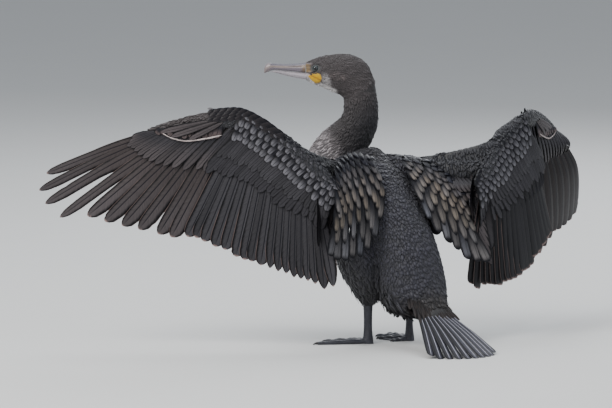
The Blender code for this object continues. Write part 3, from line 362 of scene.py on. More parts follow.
@dataclass
class Wing:
    """One wing's directions, joints and flesh, with its places on the left wing's sheet."""

    side: Side
    wrist_u: float = 244.0
    wrist_v: float = 118.0
    # places of the leading and trailing edges of the flesh on the sheet, half thickness
    hand_rows: tuple = (
        (243.0, 109.5, 239.0, 129.0, 8.0), (222.0, 110.5, 222.0, 129.5, 7.5),
        (200.0, 113.5, 202.0, 131.0, 6.0), (178.0, 119.0, 181.0, 133.0, 4.5),
        (160.0, 124.5, 163.0, 134.0, 3.2), (148.0, 128.5, 149.0, 134.5, 2.2),
    )
    forearm_rows: tuple = (
        (244.5, 109.8, 240.5, 130.0, 8.0), (258.6, 116.7, 251.0, 137.0, 9.0),
        (278.0, 131.0, 266.0, 147.0, 9.5), (292.0, 141.0, 280.0, 157.0, 10.0),
        (310.5, 153.8, 295.0, 169.0, 10.5), (321.7, 164.4, 308.0, 181.0, 11.0),
        (330.0, 173.0, 317.0, 190.0, 11.0), (337.0, 183.0, 326.0, 196.0, 8.0),
    )

    def __post_init__(self) -> None:
        """Sets the directions that differ between the two wings."""
        left = self.side is Side.LEFT
        self.sign = 1.0 if left else -1.0
        self.wrist = np.array((-228.0, -115.0, 378.6) if left else (233.0, 142.0, 355.0))
        self.shoulder = np.array((-66.0, 25.0, 270.0) if left else (22.0, 82.0, 268.0))
        self.hang = np.array((4.0, -20.0, -105.0) if left else (12.0, -24.0, -112.0))
        self.hollow = np.array((0.0, 30.0, 0.0) if left else (-32.0, 20.0, 18.0))
        self.out = {
            Segment.FOREARM: np.array((-1.0, 0.0, 0.0) if left else (0.546, 0.838, 0.0)),
            Segment.HAND: np.array((-1.0, 0.0, 0.0) if left else (0.313, 0.950, 0.0)),
        }
        self.roll = {Segment.FOREARM: 0.0 if left else -5.6, Segment.HAND: 0.0 if left else -4.0}

    def dorsal(self, segment: Segment) -> np.ndarray:
        """The direction out of the upper face of a segment."""
        out = self.out[segment]
        return np.array((-out[1], out[0], 0.0)) * self.sign

    def point(self, segment: Segment, places: np.ndarray, lift: np.ndarray = 0.0) -> np.ndarray:
        """Design points of this wing.

        Args:
            segment: Forearm or hand.
            places: Rows of (u, v) on the left wing's sheet.
            lift: How far above the wing's middle plane.

        Returns:
            One design point per row.
        """
        places = np.atleast_2d(np.asarray(places, float))
        a = (self.wrist_u - places[:, 0]) * SHEET_SCALE
        b = (self.wrist_v - places[:, 1]) * SHEET_SCALE
        turn = math.radians(self.roll[segment])
        a, b = a * math.cos(turn) - b * math.sin(turn), a * math.sin(turn) + b * math.cos(turn)
        lift = np.broadcast_to(np.asarray(lift, float), a.shape)
        return (self.wrist + self.out[segment] * a[:, None] + UP * b[:, None]
                + self.dorsal(segment) * lift[:, None])

    def limb(self, segment: Segment) -> Tube:
        """The flesh of the forearm or the hand."""
        rows = np.array(self.forearm_rows if segment is Segment.FOREARM else self.hand_rows)
        lead, trail = self.point(segment, rows[:, 0:2]), self.point(segment, rows[:, 2:4])
        side = self.dorsal(segment) * rows[:, 4:5]
        return Tube(np.hstack(((lead + trail) / 2, side, (lead - trail) / 2)))

    def elbow(self) -> tuple[np.ndarray, float]:
        """The elbow, and half the wing's depth there."""
        lead_u, lead_v, trail_u, trail_v, _ = self.forearm_rows[-3]
        lead = self.point(Segment.FOREARM, (lead_u, lead_v))[0]
        trail = self.point(Segment.FOREARM, (trail_u, trail_v))[0]
        return (lead + trail) / 2, float(np.linalg.norm(lead - trail)) / 2

    def arm(self) -> Tube:
        """The flesh of the upper arm."""
        elbow, half = self.elbow()
        flat = unit(np.cross(self.shoulder - elbow, UP))
        return Tube.through([
            (elbow + (self.shoulder - elbow) * s, flat * thick, UP * half * rise)
            for s, rise, thick in ((0.0, 0.9, 10.0), (0.2, 1.0, 12.0), (0.5, 1.2, 15.0),
                                   (0.8, 1.6, 19.0), (1.0, 1.9, 22.0), (1.15, 1.9, 22.0))])

    def patagium(self) -> Tube:
        """The fold of skin from the shoulder to the wrist, before the elbow."""
        elbow, _ = self.elbow()
        edge = [self.shoulder + UP * 22.0] + [
            self.point(Segment.FOREARM, (u, v))[0] + self.hollow * share
            for u, v, share in ((312.0, 153.0, 0.55), (285.0, 134.0, 0.35), (262.0, 118.0, 0.1))]
        back = np.array(self.forearm_rows[::-1])
        rows = []
        for t in np.linspace(0.0, 1.0, 9):
            inner = elbow + (self.shoulder - elbow) * max(0.0, 1.0 - 2.0 * t)
            if t > 0.5:
                row = blend(back, np.array([(t - 0.5) * 1.3 + 0.29]))[0]
                inner = self.point(Segment.FOREARM, (row[0:2] + row[2:4]) / 2)[0]
            outer = blend(np.array(edge), np.array([t]))[0]
            rows.append([inner, outer])
        pairs = np.array(rows)
        run = np.gradient(pairs.mean(axis=1), axis=0)
        face = unit(np.cross(run, pairs[:, 1] - pairs[:, 0]))
        face = np.where((face @ self.dorsal(Segment.FOREARM) > 0)[:, None], face, -face)
        return Tube(np.hstack((pairs.mean(axis=1), face * 5.0, (pairs[:, 1] - pairs[:, 0]) / 2)))


@dataclass
class Cape:
    """The surface on which the scapulars and mantle feathers of one shoulder lie."""

    side: Side
    body: Body
    clear: float = 5.0
    # upper edge, middle and tips, each from the elbow to the back: place and depth
    rows: dict = field(default_factory=lambda: {
        Side.LEFT: (
            ((334.0, 169.0, -92.0), (341.0, 158.0, -50.0), (354.0, 153.0, -14.0),
             (371.0, 158.0, 8.0)),
            ((336.0, 217.0, -146.0), (347.0, 208.0, -118.0), (364.0, 204.0, -78.0),
             (382.0, 193.0, -36.0)),
            ((329.0, 259.0, -158.0), (345.0, 262.0, -148.0), (362.0, 258.0, -122.0),
             (377.0, 232.0, -80.0)),
        ),
        Side.RIGHT: (
            ((463.0, 186.0, 43.0), (444.0, 172.0, 52.0), (424.0, 160.0, 58.0),
             (398.0, 157.0, 38.0)),
            ((470.5, 221.0, 12.0), (455.0, 207.0, 8.0), (435.0, 193.0, 6.0),
             (412.0, 178.0, 4.0)),
            ((489.5, 262.0, -16.0), (468.0, 259.0, -26.0), (445.0, 239.0, -33.0),
             (426.0, 214.0, -30.0)),
        ),
    })

    def points(self, t: np.ndarray, r: np.ndarray) -> np.ndarray:
        """Design points: t from the elbow to the back, r from the upper edge to the tips."""
        t, r = np.broadcast_arrays(np.asarray(t, float), np.asarray(r, float))
        columns = [blend(sheet(*np.array(row).T), t) for row in self.rows[self.side]]
        out = np.empty((len(t), 3))
        for k in range(len(t)):
            out[k] = blend(np.array([column[k] for column in columns]), r[k:k + 1])[0]
        return self.body.push_out(out, self.clear)

    def normals(self, t: np.ndarray, r: np.ndarray) -> np.ndarray:
        """The directions out of the cape."""
        t, r = np.broadcast_arrays(np.asarray(t, float), np.asarray(r, float))
        across = self.points(t + 0.04, r) - self.points(t - 0.04, r)
        down = self.points(t, np.minimum(r + 0.05, 1)) - self.points(t, np.maximum(r - 0.05, 0))
        return unit(np.cross(across, down)) * (-1.0 if self.side is Side.LEFT else 1.0)


@dataclass(frozen=True)
class Leg:
    """Where one leg stands, and its sizes."""

    side: Side

    @property
    def place(self) -> np.ndarray:
        """The middle of the ankle, on the floor."""
        return np.array((-27.5, -21.0, 0.0) if self.side is Side.LEFT else (40.0, 21.0, 0.0))

    @property
    def turn(self) -> float:
        """How far the foot points to the left of +Y, in degrees."""
        return 80.0 if self.side is Side.LEFT else 45.0

    @staticmethod
    def compass(turn: float) -> np.ndarray:
        """The level direction turned left of +Y."""
        a = math.radians(turn)
        return np.array((-math.sin(a), math.cos(a), 0.0))

    def thigh(self) -> Tube:
        """The feathered thigh."""
        lean_to = (LEFT if self.side is Side.LEFT else RIGHT) * 8.0 + FORWARD * 10.0
        rows = []
        for z, radius, lean in ((66.3, 9.0, 0.0), (75.0, 18.0, 0.1), (90.0, 27.0, 0.3),
                                (108.0, 33.0, 0.6), (128.0, 37.0, 1.0), (150.0, 36.0, 1.4),
                                (172.0, 28.0, 1.6)):
            centre = self.place + lean_to * lean + UP * z
            centre = centre + RIGHT * (3.0 if 70.0 < z < 100.0 else 0.0)
            rows.append((centre, RIGHT * radius, FORWARD * radius * 1.15))
        return Tube.through(rows)

    def tarsus(self) -> Tube:
        """The bare shank, from the ankle to the thigh."""
        ahead = self.compass(self.turn)
        across = np.cross(ahead, UP)
        return Tube.through([
            (self.place + UP * z, across * wide, ahead * deep)
            for z, wide, deep in ((0.3, 7.2, 9.2), (7.0, 7.0, 8.8), (15.0, 5.8, 7.8),
                                  (26.0, 4.4, 7.0), (45.0, 4.5, 7.0), (60.0, 5.4, 7.6),
                                  (72.0, 6.4, 8.6))])


class Modeller:
    """Hand tools for making meshes, all through Blender's own operators."""

    @staticmethod
    def clear_selection() -> None:
        """Leaves nothing selected."""
        if bpy.context.object and bpy.context.mode != "OBJECT":
            bpy.ops.object.mode_set(mode="OBJECT")
        bpy.ops.object.select_all(action="DESELECT")

    @classmethod
    def pick(cls, *objects: bpy.types.Object) -> None:
        """Selects only these objects and makes the first active."""
        cls.clear_selection()
        for obj in objects:
            obj.select_set(True)
        bpy.context.view_layer.objects.active = objects[0]

    @classmethod
    def loft(cls, name: str, tube: Tube, steps: int, count: int,
             ends: tuple[float, float] = (0.0, 1.0), inset: float = 0.0) -> bpy.types.Object:
        """Extrudes a disc through the ovals of a tube.

        Args:
            name: The new object's name.
            tube: The tube to follow.
            steps: How many extrusions.
            count: How many points round each oval.
            ends: The stretch of the tube.
            inset: How far inside the tube, in millimetres.

        Returns:
            The closed object.
        """
        cls.clear_selection()
        bpy.ops.mesh.primitive_circle_add(vertices=count, radius=1.0, fill_type="NGON")
        obj = bpy.context.object
        obj.name = name
        centres, sides, rises = tube.sections(np.linspace(*ends, steps + 1), inset)
        frames = []
        for centre, side, rise in zip(Place.world(centres), sides * MM, rises * MM):
            out = unit(np.cross(side, rise)) * MM
            rows = np.eye(4)
            rows[:3, 0], rows[:3, 1], rows[:3, 2], rows[:3, 3] = side, rise, out, centre
            frames.append(Matrix(rows.tolist()))
        bpy.ops.object.mode_set(mode="EDIT")
        bpy.ops.mesh.select_all(action="SELECT")
        before = Matrix.Identity(4)
        for k, frame in enumerate(frames):
            if k:
                bpy.ops.mesh.extrude_region_move()
            change = frame @ before.inverted()
            bm = bmesh.from_edit_mesh(obj.data)
            for vert in bm.verts:
                if vert.select:
                    vert.co = change @ vert.co
            bmesh.update_edit_mesh(obj.data)
            before = frame
        bpy.ops.mesh.select_all(action="SELECT")
        bpy.ops.mesh.normals_make_consistent(inside=False)
        bpy.ops.object.mode_set(mode="OBJECT")
        return obj

    @classmethod
    def join(cls, name: str, objects: list[bpy.types.Object]) -> bpy.types.Object:
        """Joins objects into the first, under a new name."""
        cls.pick(*objects)
        bpy.ops.object.join()
        objects[0].name = name
        return objects[0]

    @classmethod
    def modify(cls, obj: bpy.types.Object, kind: str, **settings: object) -> None:
        """Adds a modifier and applies it.

        Args:
            obj: The object to change.
            kind: Blender's name of the modifier's type.
            settings: The modifier's values by name.
        """
        cls.pick(obj)
        modifier = obj.modifiers.new(kind.lower(), kind)
        for key, value in settings.items():
            setattr(modifier, key, value)
        bpy.ops.object.modifier_apply(modifier=modifier.name)

    @classmethod
    def soften(cls, obj: bpy.types.Object, angle: float) -> None:
        """Smooth shading with edges kept sharp past an angle in degrees."""
        cls.pick(obj)
        bpy.ops.object.shade_smooth_by_angle(angle=math.radians(angle))

    @staticmethod
    def coordinates(obj: bpy.types.Object) -> np.ndarray:
        """An object's points, in design millimetres."""
        flat = np.empty(len(obj.data.vertices) * 3)
        obj.data.vertices.foreach_get("co", flat)
        return Place.design(flat.reshape(-1, 3))

    @staticmethod
    def place(obj: bpy.types.Object, points: np.ndarray) -> None:
        """Moves an object's points to design places."""
        obj.data.vertices.foreach_set("co", Place.world(points).ravel())
        obj.data.update()

    @staticmethod
    def normals(obj: bpy.types.Object) -> np.ndarray:
        """The directions out of an object at its points."""
        flat = np.empty(len(obj.data.vertices) * 3)
        obj.data.vertices.foreach_get("normal", flat)
        return flat.reshape(-1, 3)

    @staticmethod
    def tint(obj: bpy.types.Object, colours: np.ndarray) -> None:
        """Stores one colour per point as the attribute Plumage."""
        layer = obj.data.color_attributes.new("Plumage", "FLOAT_COLOR", "POINT")
        rgba = np.ones((len(colours), 4))
        rgba[:, :3] = colours
        layer.data.foreach_set("color", rgba.ravel())


class Markings:
    """The bird's colours by place, shared by its skin and its coat."""

    back = np.array((0.020, 0.0195, 0.029))
    belly = np.array((0.018, 0.017, 0.021))
    wing = np.array((0.016, 0.016, 0.021))
    hand = np.array((0.050, 0.041, 0.042))
    neck = np.array((0.040, 0.034, 0.036))
    nape = np.array((0.020, 0.019, 0.023))
    head = np.array((0.050, 0.041, 0.042))
    streak = np.array((0.42, 0.38, 0.39))
    throat = np.array((0.72, 0.69, 0.69))
    cheek = np.array((0.16, 0.13, 0.125))
    rump = np.array((0.018, 0.015, 0.015))
    gape = np.array((0.68, 0.39, 0.001))
    lores = np.array((0.20, 0.125, 0.045))
    eye_skin = np.array((0.018, 0.018, 0.024))
    bare_skin = np.array((0.17, 0.14, 0.14))
    mandible = np.array((0.50, 0.46, 0.48))
    bar = np.array((0.07, 0.045, 0.025))
    orange = np.array((0.30, 0.09, 0.004))
    lid = np.array((0.060, 0.062, 0.062))

    @staticmethod
    def blob(u: np.ndarray, v: np.ndarray, place: tuple[float, float], size: tuple[float, float],
             turn: float = 0.0, soft: float = 0.25) -> np.ndarray:
        """How far inside a turned oval on the sheet.

        Args:
            u: First place on the sheet.
            v: Second place on the sheet.
            place: The oval's middle.
            size: Its half length and half height.
            turn: Its turn in degrees.
            soft: The share of its size over which its edge fades.

        Returns:
            One value from 0 outside to 1 inside per place.
        """
        a = math.radians(turn)
        x, y = u - place[0], v - place[1]
        x, y = x * math.cos(a) + y * math.sin(a), y * math.cos(a) - x * math.sin(a)
        return 1.0 - smooth(np.hypot(x / size[0], y / size[1]), 1.0 - soft, 1.0 + soft)

    @classmethod
    def gape_share(cls, u: np.ndarray, v: np.ndarray) -> np.ndarray:
        """How far a place is on the bare yellow skin under the eye."""
        corners = np.array(((307.6, 75.4), (312.0, 73.4), (317.2, 72.4), (320.6, 74.4),
                            (321.8, 78.4), (319.6, 82.6), (315.8, 83.2), (311.0, 79.4)))
        inside = np.full(np.shape(u), 9.0)
        for (a, b), (c, d) in zip(corners, np.roll(corners, -1, axis=0)):
            reach = ((c - a) * (v - b) - (d - b) * (u - a)) / math.hypot(c - a, d - b)
            inside = np.minimum(inside, reach)
        return smooth(inside, -0.3, 0.45)

    @classmethod
    def lores_share(cls, u: np.ndarray, v: np.ndarray) -> np.ndarray:
        """How far a place is on the bare ochre skin before the eye."""
        return cls.blob(u, v, (307.0, 67.6), (6.0, 4.0), 8.0, 0.2)

    @classmethod
    def bare(cls, u: np.ndarray, v: np.ndarray) -> np.ndarray:
        """Whether no feather grows at a place of the head."""
        eye = np.hypot(u - EYE_PLACE[0], (v - EYE_PLACE[1]) * 1.1) < 4.3
        return ((cls.gape_share(u, v) > 0.4) | (cls.lores_share(u, v) > 0.4) | eye
                | ((u < 308.5) & (v > 63.5) & (v < 76.0)))

    @classmethod
    def at(cls, points: np.ndarray) -> np.ndarray:
        """Colours by place.

        Args:
            points: Design points.

        Returns:
            One linear colour per point.
        """
        u, v = on_sheet(points)
        from_neck = points - NECK_BASE
        colour = mixed(cls.back, cls.belly, smooth(-(from_neck @ DORSAL), 0.0, 45.0))
        colour = mixed(colour, cls.rump, smooth(from_neck @ TAILWARD, 262.0, 296.0))
        on_neck = smooth(points[:, 1], 30.0, 62.0) * smooth(402.0 - u, 0.0, 14.0)
        above = smooth(points[:, 2], 268.0, 318.0) * on_neck
        limbs = np.maximum(smooth(340.0 - u, 0.0, 8.0) * smooth(-points[:, 1], -30.0, 0.0),
                           smooth(u, 404.0, 424.0) * smooth(points[:, 2], 190.0, 215.0))
        limb = mixed(cls.wing, cls.hand, smooth(222.0 - u, -6.0, 10.0))
        colour = mixed(colour, limb, limbs)
        behind = smooth((u - 352.0) + (v - 118.0) * 0.25, -10.0, 22.0)
        colour = mixed(colour, mixed(cls.neck, cls.nape, behind), above)
        front = smooth(342.0 - u + (v - 128.0) * 0.42, 2.0, 20.0) * smooth(v, 108.0, 134.0)
        streaks = smooth(ripple(points * (1.0, 1.0, 0.35), 7.0, 2.0), -0.05, 0.45)
        colour = mixed(colour, cls.streak, front * (0.25 + 0.75 * streaks) * above)
        head = smooth(104.0 - v + (350.0 - u) * 0.2, -22.0, 26.0) * above
        colour = mixed(colour, cls.head, head)
        edge = smooth(v - (81.2 + (u - 311.0) * 0.42), -4.6, -2.2) * smooth(337.0 - u, 0.0, 5.0)
        jaw = edge * smooth(u, 304.0, 310.0) * smooth(102.0 - v, 0.0, 6.0)
        band = cls.blob(u, v, (325.0, 80.0), (3.4, 7.0), -20.0, 0.6) * 0.42
        spots = smooth(ripple(points, 3.1, 5.0), -0.55, 0.1)
        colour = mixed(colour, cls.throat, np.maximum(jaw, band) * (0.62 + 0.38 * spots))
        bars = smooth(ripple(points * (0.3, 1.0, 1.0), 2.6, 8.0), -0.1, 0.5)
        cheek = cls.blob(u, v, (334.5, 75.0), (8.5, 3.4), 10.0, 0.5) * (0.15 + 0.6 * bars)
        cheek = np.maximum(cheek, cls.blob(u, v, (341.6, 77.2), (1.5, 1.8), 0.0, 0.6) * 0.8)
        colour = mixed(colour, cls.cheek, cheek * head)
        patchy = 1 + 0.08 * ripple(points, 46.0, 1.0) + 0.08 * ripple(points, 17.0, 3.0)
        return colour * patchy[:, None]

    @classmethod
    def on_skin(cls, points: np.ndarray) -> np.ndarray:
        """Colours of the skin: those of the coat, darkened as painted shade between the feathers,
        and the bare parts of the face.
        """
        u, v = on_sheet(points)
        # painted shade: the coat's colour darkened, for the skin seen in the gaps between
        # feathers
        colour = cls.at(points) * 0.55
        on_head = points[:, 2] > HEAD_HEIGHT
        for share, tone in (
            (cls.blob(u, v, (309.0, 70.0), (7.0, 9.0), 0.0, 0.2) * 0.9, cls.bare_skin),
            (cls.blob(u, v, (306.5, 76.2), (6.0, 3.0), 16.0, 0.3), cls.mandible),
            (cls.lores_share(u, v), cls.lores),
            (cls.lores_share(u, v) * np.exp(-((v - 65.6) / 0.5) ** 2), cls.bar),
            (cls.lores_share(u, v) * np.exp(-((v - 68.4) / 0.45) ** 2), cls.bar),
            (cls.blob(u, v, EYE_PLACE, (5.4, 4.8), 0.0, 0.25), cls.eye_skin),
            (cls.blob(u, v, EYE_PLACE, (4.4, 4.0), 0.0, 0.15), cls.lid),
            (cls.gape_share(u, v), cls.gape),
            (cls.gape_share(u, v) * 0.85 * np.exp(
                -((v - (75.4 + (u - 312.0) * 0.5)) / 0.7) ** 2), cls.orange),
            (cls.gape_share(u, v) * 0.6 * smooth(v + (u - 316.0) * 0.1, 80.2, 83.0), cls.bar),
        ):
            colour = mixed(colour, tone, share * on_head)
        line = np.exp(-((v - (71.8 + (u - 305.0) * 0.1)) / 0.4) ** 2) * (u < 314)
        return mixed(colour, cls.eye_skin, line * 0.75 * on_head)


class Nodes:
    """Builds a material's node tree in short steps."""

    def __init__(self, name: str) -> None:
        """Starts an empty Principled material."""
        self.material = bpy.data.materials.new(name)
        self.material.use_nodes = True
        self.tree = self.material.node_tree
        self.shader = self.tree.nodes["Principled BSDF"]

    def add(self, kind: str, values: dict | None = None, **settings: object) -> bpy.types.Node:
        """Adds a node.

        Args:
            kind: The node's type name.
            values: Its sockets' values or incoming links, by name or number.
            settings: Its own properties.

        Returns:
            The new node.
        """
        node = self.tree.nodes.new(kind)
        for key, value in settings.items():
            setattr(node, key, value)
        for key, value in (values or {}).items():
            if isinstance(value, bpy.types.NodeSocket):
                self.tree.links.new(value, node.inputs[key])
            else:
                node.inputs[key].default_value = value
        return node

    def math(self, operation: str, *terms: object) -> bpy.types.NodeSocket:
        """One sum on numbers or sockets."""
        node = self.add("ShaderNodeMath", dict(enumerate(terms)), operation=operation)
        return node.outputs[0]

    def step(self, value: object, low: float, high: float) -> bpy.types.NodeSocket:
        """A soft step from 0 at low to 1 at high."""
        node = self.add("ShaderNodeMapRange", {"Value": value, "From Min": low, "From Max": high},
                        interpolation_type="SMOOTHSTEP")
        return node.outputs["Result"]

    def mix(self, share: object, first: object, second: object,
            blend_type: str = "MIX") -> bpy.types.NodeSocket:
        """A mix of two colours.

        Args:
            share: How much of the second.
            first: A colour or socket.
            second: A colour or socket.
            blend_type: How they mix.

        Returns:
            The mixed colour.
        """
        node = self.add("ShaderNodeMix", {0: share, 6: first, 7: second}, data_type="RGBA",
                        blend_type=blend_type)
        return node.outputs[2]

    def shaded(self, colour: object, tone: object) -> bpy.types.NodeSocket:
        """A colour multiplied by one number."""
        triple = self.add("ShaderNodeCombineColor", {0: tone, 1: tone, 2: tone}).outputs[0]
        return self.mix(1.0, colour, triple, "MULTIPLY")

    def plumage(self) -> bpy.types.NodeSocket:
        """The colour that each point carries."""
        return self.add("ShaderNodeAttribute", attribute_name="Plumage").outputs["Color"]

    def place(self) -> bpy.types.NodeSocket:
        """The object's own coordinates."""
        return self.add("ShaderNodeTexCoord").outputs["Object"]

    def finish(self, colour: bpy.types.NodeSocket, height: bpy.types.NodeSocket, bump: float,
               depth: float, roughness: float, **constants: float) -> bpy.types.Material:
        """Connects the shader.

        Args:
            colour: The base colour.
            height: What the bump reads.
            bump: The bump's strength.
            depth: The bump's distance in metres.
            roughness: The surface's roughness.
            constants: Other sockets set to one value, words joined by underscores.

        Returns:
            The finished material.
        """
        self.tree.links.new(colour, self.shader.inputs["Base Color"])
        relief = self.add("ShaderNodeBump", {"Height": height, "Strength": bump,
                                             "Distance": depth})
        self.tree.links.new(relief.outputs["Normal"], self.shader.inputs["Normal"])
        self.shader.inputs["Roughness"].default_value = roughness
        for key, value in constants.items():
            socket = key.replace("_", " ").title().replace("Ior", "IOR")
            self.shader.inputs[socket].default_value = value
        return self.material


def grey(value: float) -> tuple[float, float, float, float]:
    """A neutral colour."""
    return (value, value, value, 1.0)


@dataclass(frozen=True)
class FeatherFinish:
    """A feather with its own shaft, edges and barbs, read from its Vane map."""

    name: str
    margin: tuple[float, float, float]
    margin_share: float
    fringe: tuple[float, float, float]
    fringe_share: float
    shaft: tuple[float, float, float]
    shaft_share: float
    # the factor on the vane on the leading side: painted shade that darkens one side of each
    # feather
    inner: float = 0.75
    round_tip: float = 0.0
    contrast: float = 0.5
    sheen: float = 0.01
    roughness: float = 0.48
    specular: float = 0.12
    barbs: float = 9.0

    def material(self) -> bpy.types.Material:
        """The node material of this feather."""
        nodes = Nodes(self.name)
        vane = nodes.add("ShaderNodeUVMap", uv_map="Vane").outputs[0]
        split = nodes.add("ShaderNodeSeparateXYZ", {0: vane})
        side = nodes.math("SUBTRACT", split.outputs[0], 0.5)
        across = nodes.math("MULTIPLY", nodes.math("ABSOLUTE", side), 2.0)
        along = split.outputs[1]
        barb = nodes.add("ShaderNodeUVMap", uv_map="Barb").outputs[0]
        run = nodes.add("ShaderNodeSeparateXYZ", {0: barb})
        slope = nodes.math("SUBTRACT", run.outputs[1], nodes.math("ABSOLUTE", run.outputs[0]))
        streak = nodes.add("ShaderNodeCombineXYZ", {0: slope, 1: nodes.math(
            "MULTIPLY", run.outputs[0], 0.12), 2: 0.0}).outputs[0]
        fine = nodes.add("ShaderNodeTexNoise", {"Vector": streak, "Scale": self.barbs,
                                                "Detail": 2.0}, noise_dimensions="3D")
        broad = nodes.add("ShaderNodeTexNoise", {"Vector": streak, "Scale": 1.6, "Detail": 1.0})
        wander = nodes.math("MULTIPLY", nodes.math("SUBTRACT", broad.outputs[0], 0.5), 0.22)
        reach = across
        if self.round_tip:
            ahead = nodes.add("ShaderNodeMapRange", {
                "Value": along, "From Min": 1.0 - self.round_tip, "From Max": 1.0}).outputs[0]
            reach = nodes.math("MAXIMUM", across, ahead)
        ragged = nodes.math("ADD", reach, wander)
        edge = nodes.step(ragged, 1.0 - self.margin_share, 1.0 - 0.3 * self.margin_share)
        tip = nodes.step(nodes.math("ADD", along, nodes.math("MULTIPLY", wander, 0.4)),
                         1.0 - self.fringe_share, 1.0)
        rim = nodes.step(across, 0.9, 0.99)
        # painted shade: the vane on the leading side is darkened by the factor inner
        colour = nodes.mix(nodes.step(side, -0.03, 0.05), nodes.plumage(), nodes.mix(
            1.0, nodes.plumage(), grey(self.inner), "MULTIPLY"))
        tone = nodes.math("ADD", nodes.math("MULTIPLY", fine.outputs[0], self.contrast * 2.0),
                          1.0 - self.contrast)
        colour = nodes.shaded(colour, tone)
        colour = nodes.mix(edge, colour, (*self.margin, 1.0))
        colour = nodes.mix(nodes.math("MULTIPLY", nodes.math("MAXIMUM", tip, nodes.math(
            "MULTIPLY", rim, 0.5)), 0.85 if self.fringe_share else 0.0), colour,
            (*self.fringe, 1.0))
        quill = nodes.step(across, self.shaft_share * 1.5, self.shaft_share * 0.6)
        quill = nodes.math("MULTIPLY", quill, nodes.step(along, 1.0, 0.86))
        colour = nodes.mix(quill, colour, (*self.shaft, 1.0))
        height = nodes.math("ADD", nodes.math("MULTIPLY", fine.outputs[0], 0.6), nodes.math(
            "MULTIPLY", broad.outputs[0], 0.4))
        return nodes.finish(colour, height, 0.5, 0.0005, self.roughness,
                            sheen_weight=self.sheen, sheen_roughness=0.4,
                            specular_ior_level=self.specular)


@dataclass(frozen=True)
class CoatFinish:
    """Small soft feathers: the colour of each point, with fine streaks."""

    name: str
    scale: float = 420.0
    bump: float = 0.3
    sheen: float = 0.06
    roughness: float = 0.6

    def material(self) -> bpy.types.Material:
        """The node material of this coat."""
        nodes = Nodes(self.name)
        place = nodes.place()
        fine = nodes.add("ShaderNodeTexNoise", {"Vector": place, "Scale": self.scale,
                                                "Detail": 3.0})
        broad = nodes.add("ShaderNodeTexNoise", {"Vector": place, "Scale": 38.0, "Detail": 2.0})
        tone = nodes.math("ADD", nodes.math("MULTIPLY", fine.outputs[0], 0.5), nodes.math(
            "MULTIPLY", broad.outputs[0], 0.5))
        tone = nodes.math("ADD", tone, 0.5)
        colour = nodes.shaded(nodes.plumage(), tone)
        return nodes.finish(colour, fine.outputs[0], self.bump, 0.0005, self.roughness,
                            sheen_weight=self.sheen, sheen_roughness=0.5)


@dataclass(frozen=True)
class SkinFinish:
    """Bare, finely creased skin or horn: the colour of each point with pores and wear."""

    name: str
    cells: float = 900.0
    bump: float = 0.4
    depth: float = 0.0004
    roughness: float = 0.5
    coat: float = 0.0
    mottle: float = 0.3
    stretch: tuple[float, float, float] = (1.0, 1.0, 1.0)

    def material(self) -> bpy.types.Material:
        """The node material of this skin."""
        nodes = Nodes(self.name)
        place = nodes.add("ShaderNodeMapping", {"Vector": nodes.place(),
                                                "Scale": self.stretch}).outputs[0]
        cells = nodes.add("ShaderNodeTexVoronoi", {"Vector": place, "Scale": self.cells})
        broad = nodes.add("ShaderNodeTexNoise", {"Vector": place, "Scale": self.cells * 0.16,
                                                 "Detail": 4.0})
        tone = nodes.math("ADD", nodes.math("MULTIPLY", broad.outputs[0], self.mottle * 2),
                          1.0 - self.mottle)
        tone = nodes.math("SUBTRACT", tone, nodes.math("MULTIPLY", cells.outputs[0], 0.22))
        colour = nodes.shaded(nodes.plumage(), tone)
        height = nodes.math("ADD", nodes.math("MULTIPLY", nodes.step(
            cells.outputs[0], 0.6, 0.1), 0.6), broad.outputs[0])
        return nodes.finish(colour, height, self.bump, self.depth, self.roughness,
                            coat_weight=self.coat, coat_roughness=0.15)


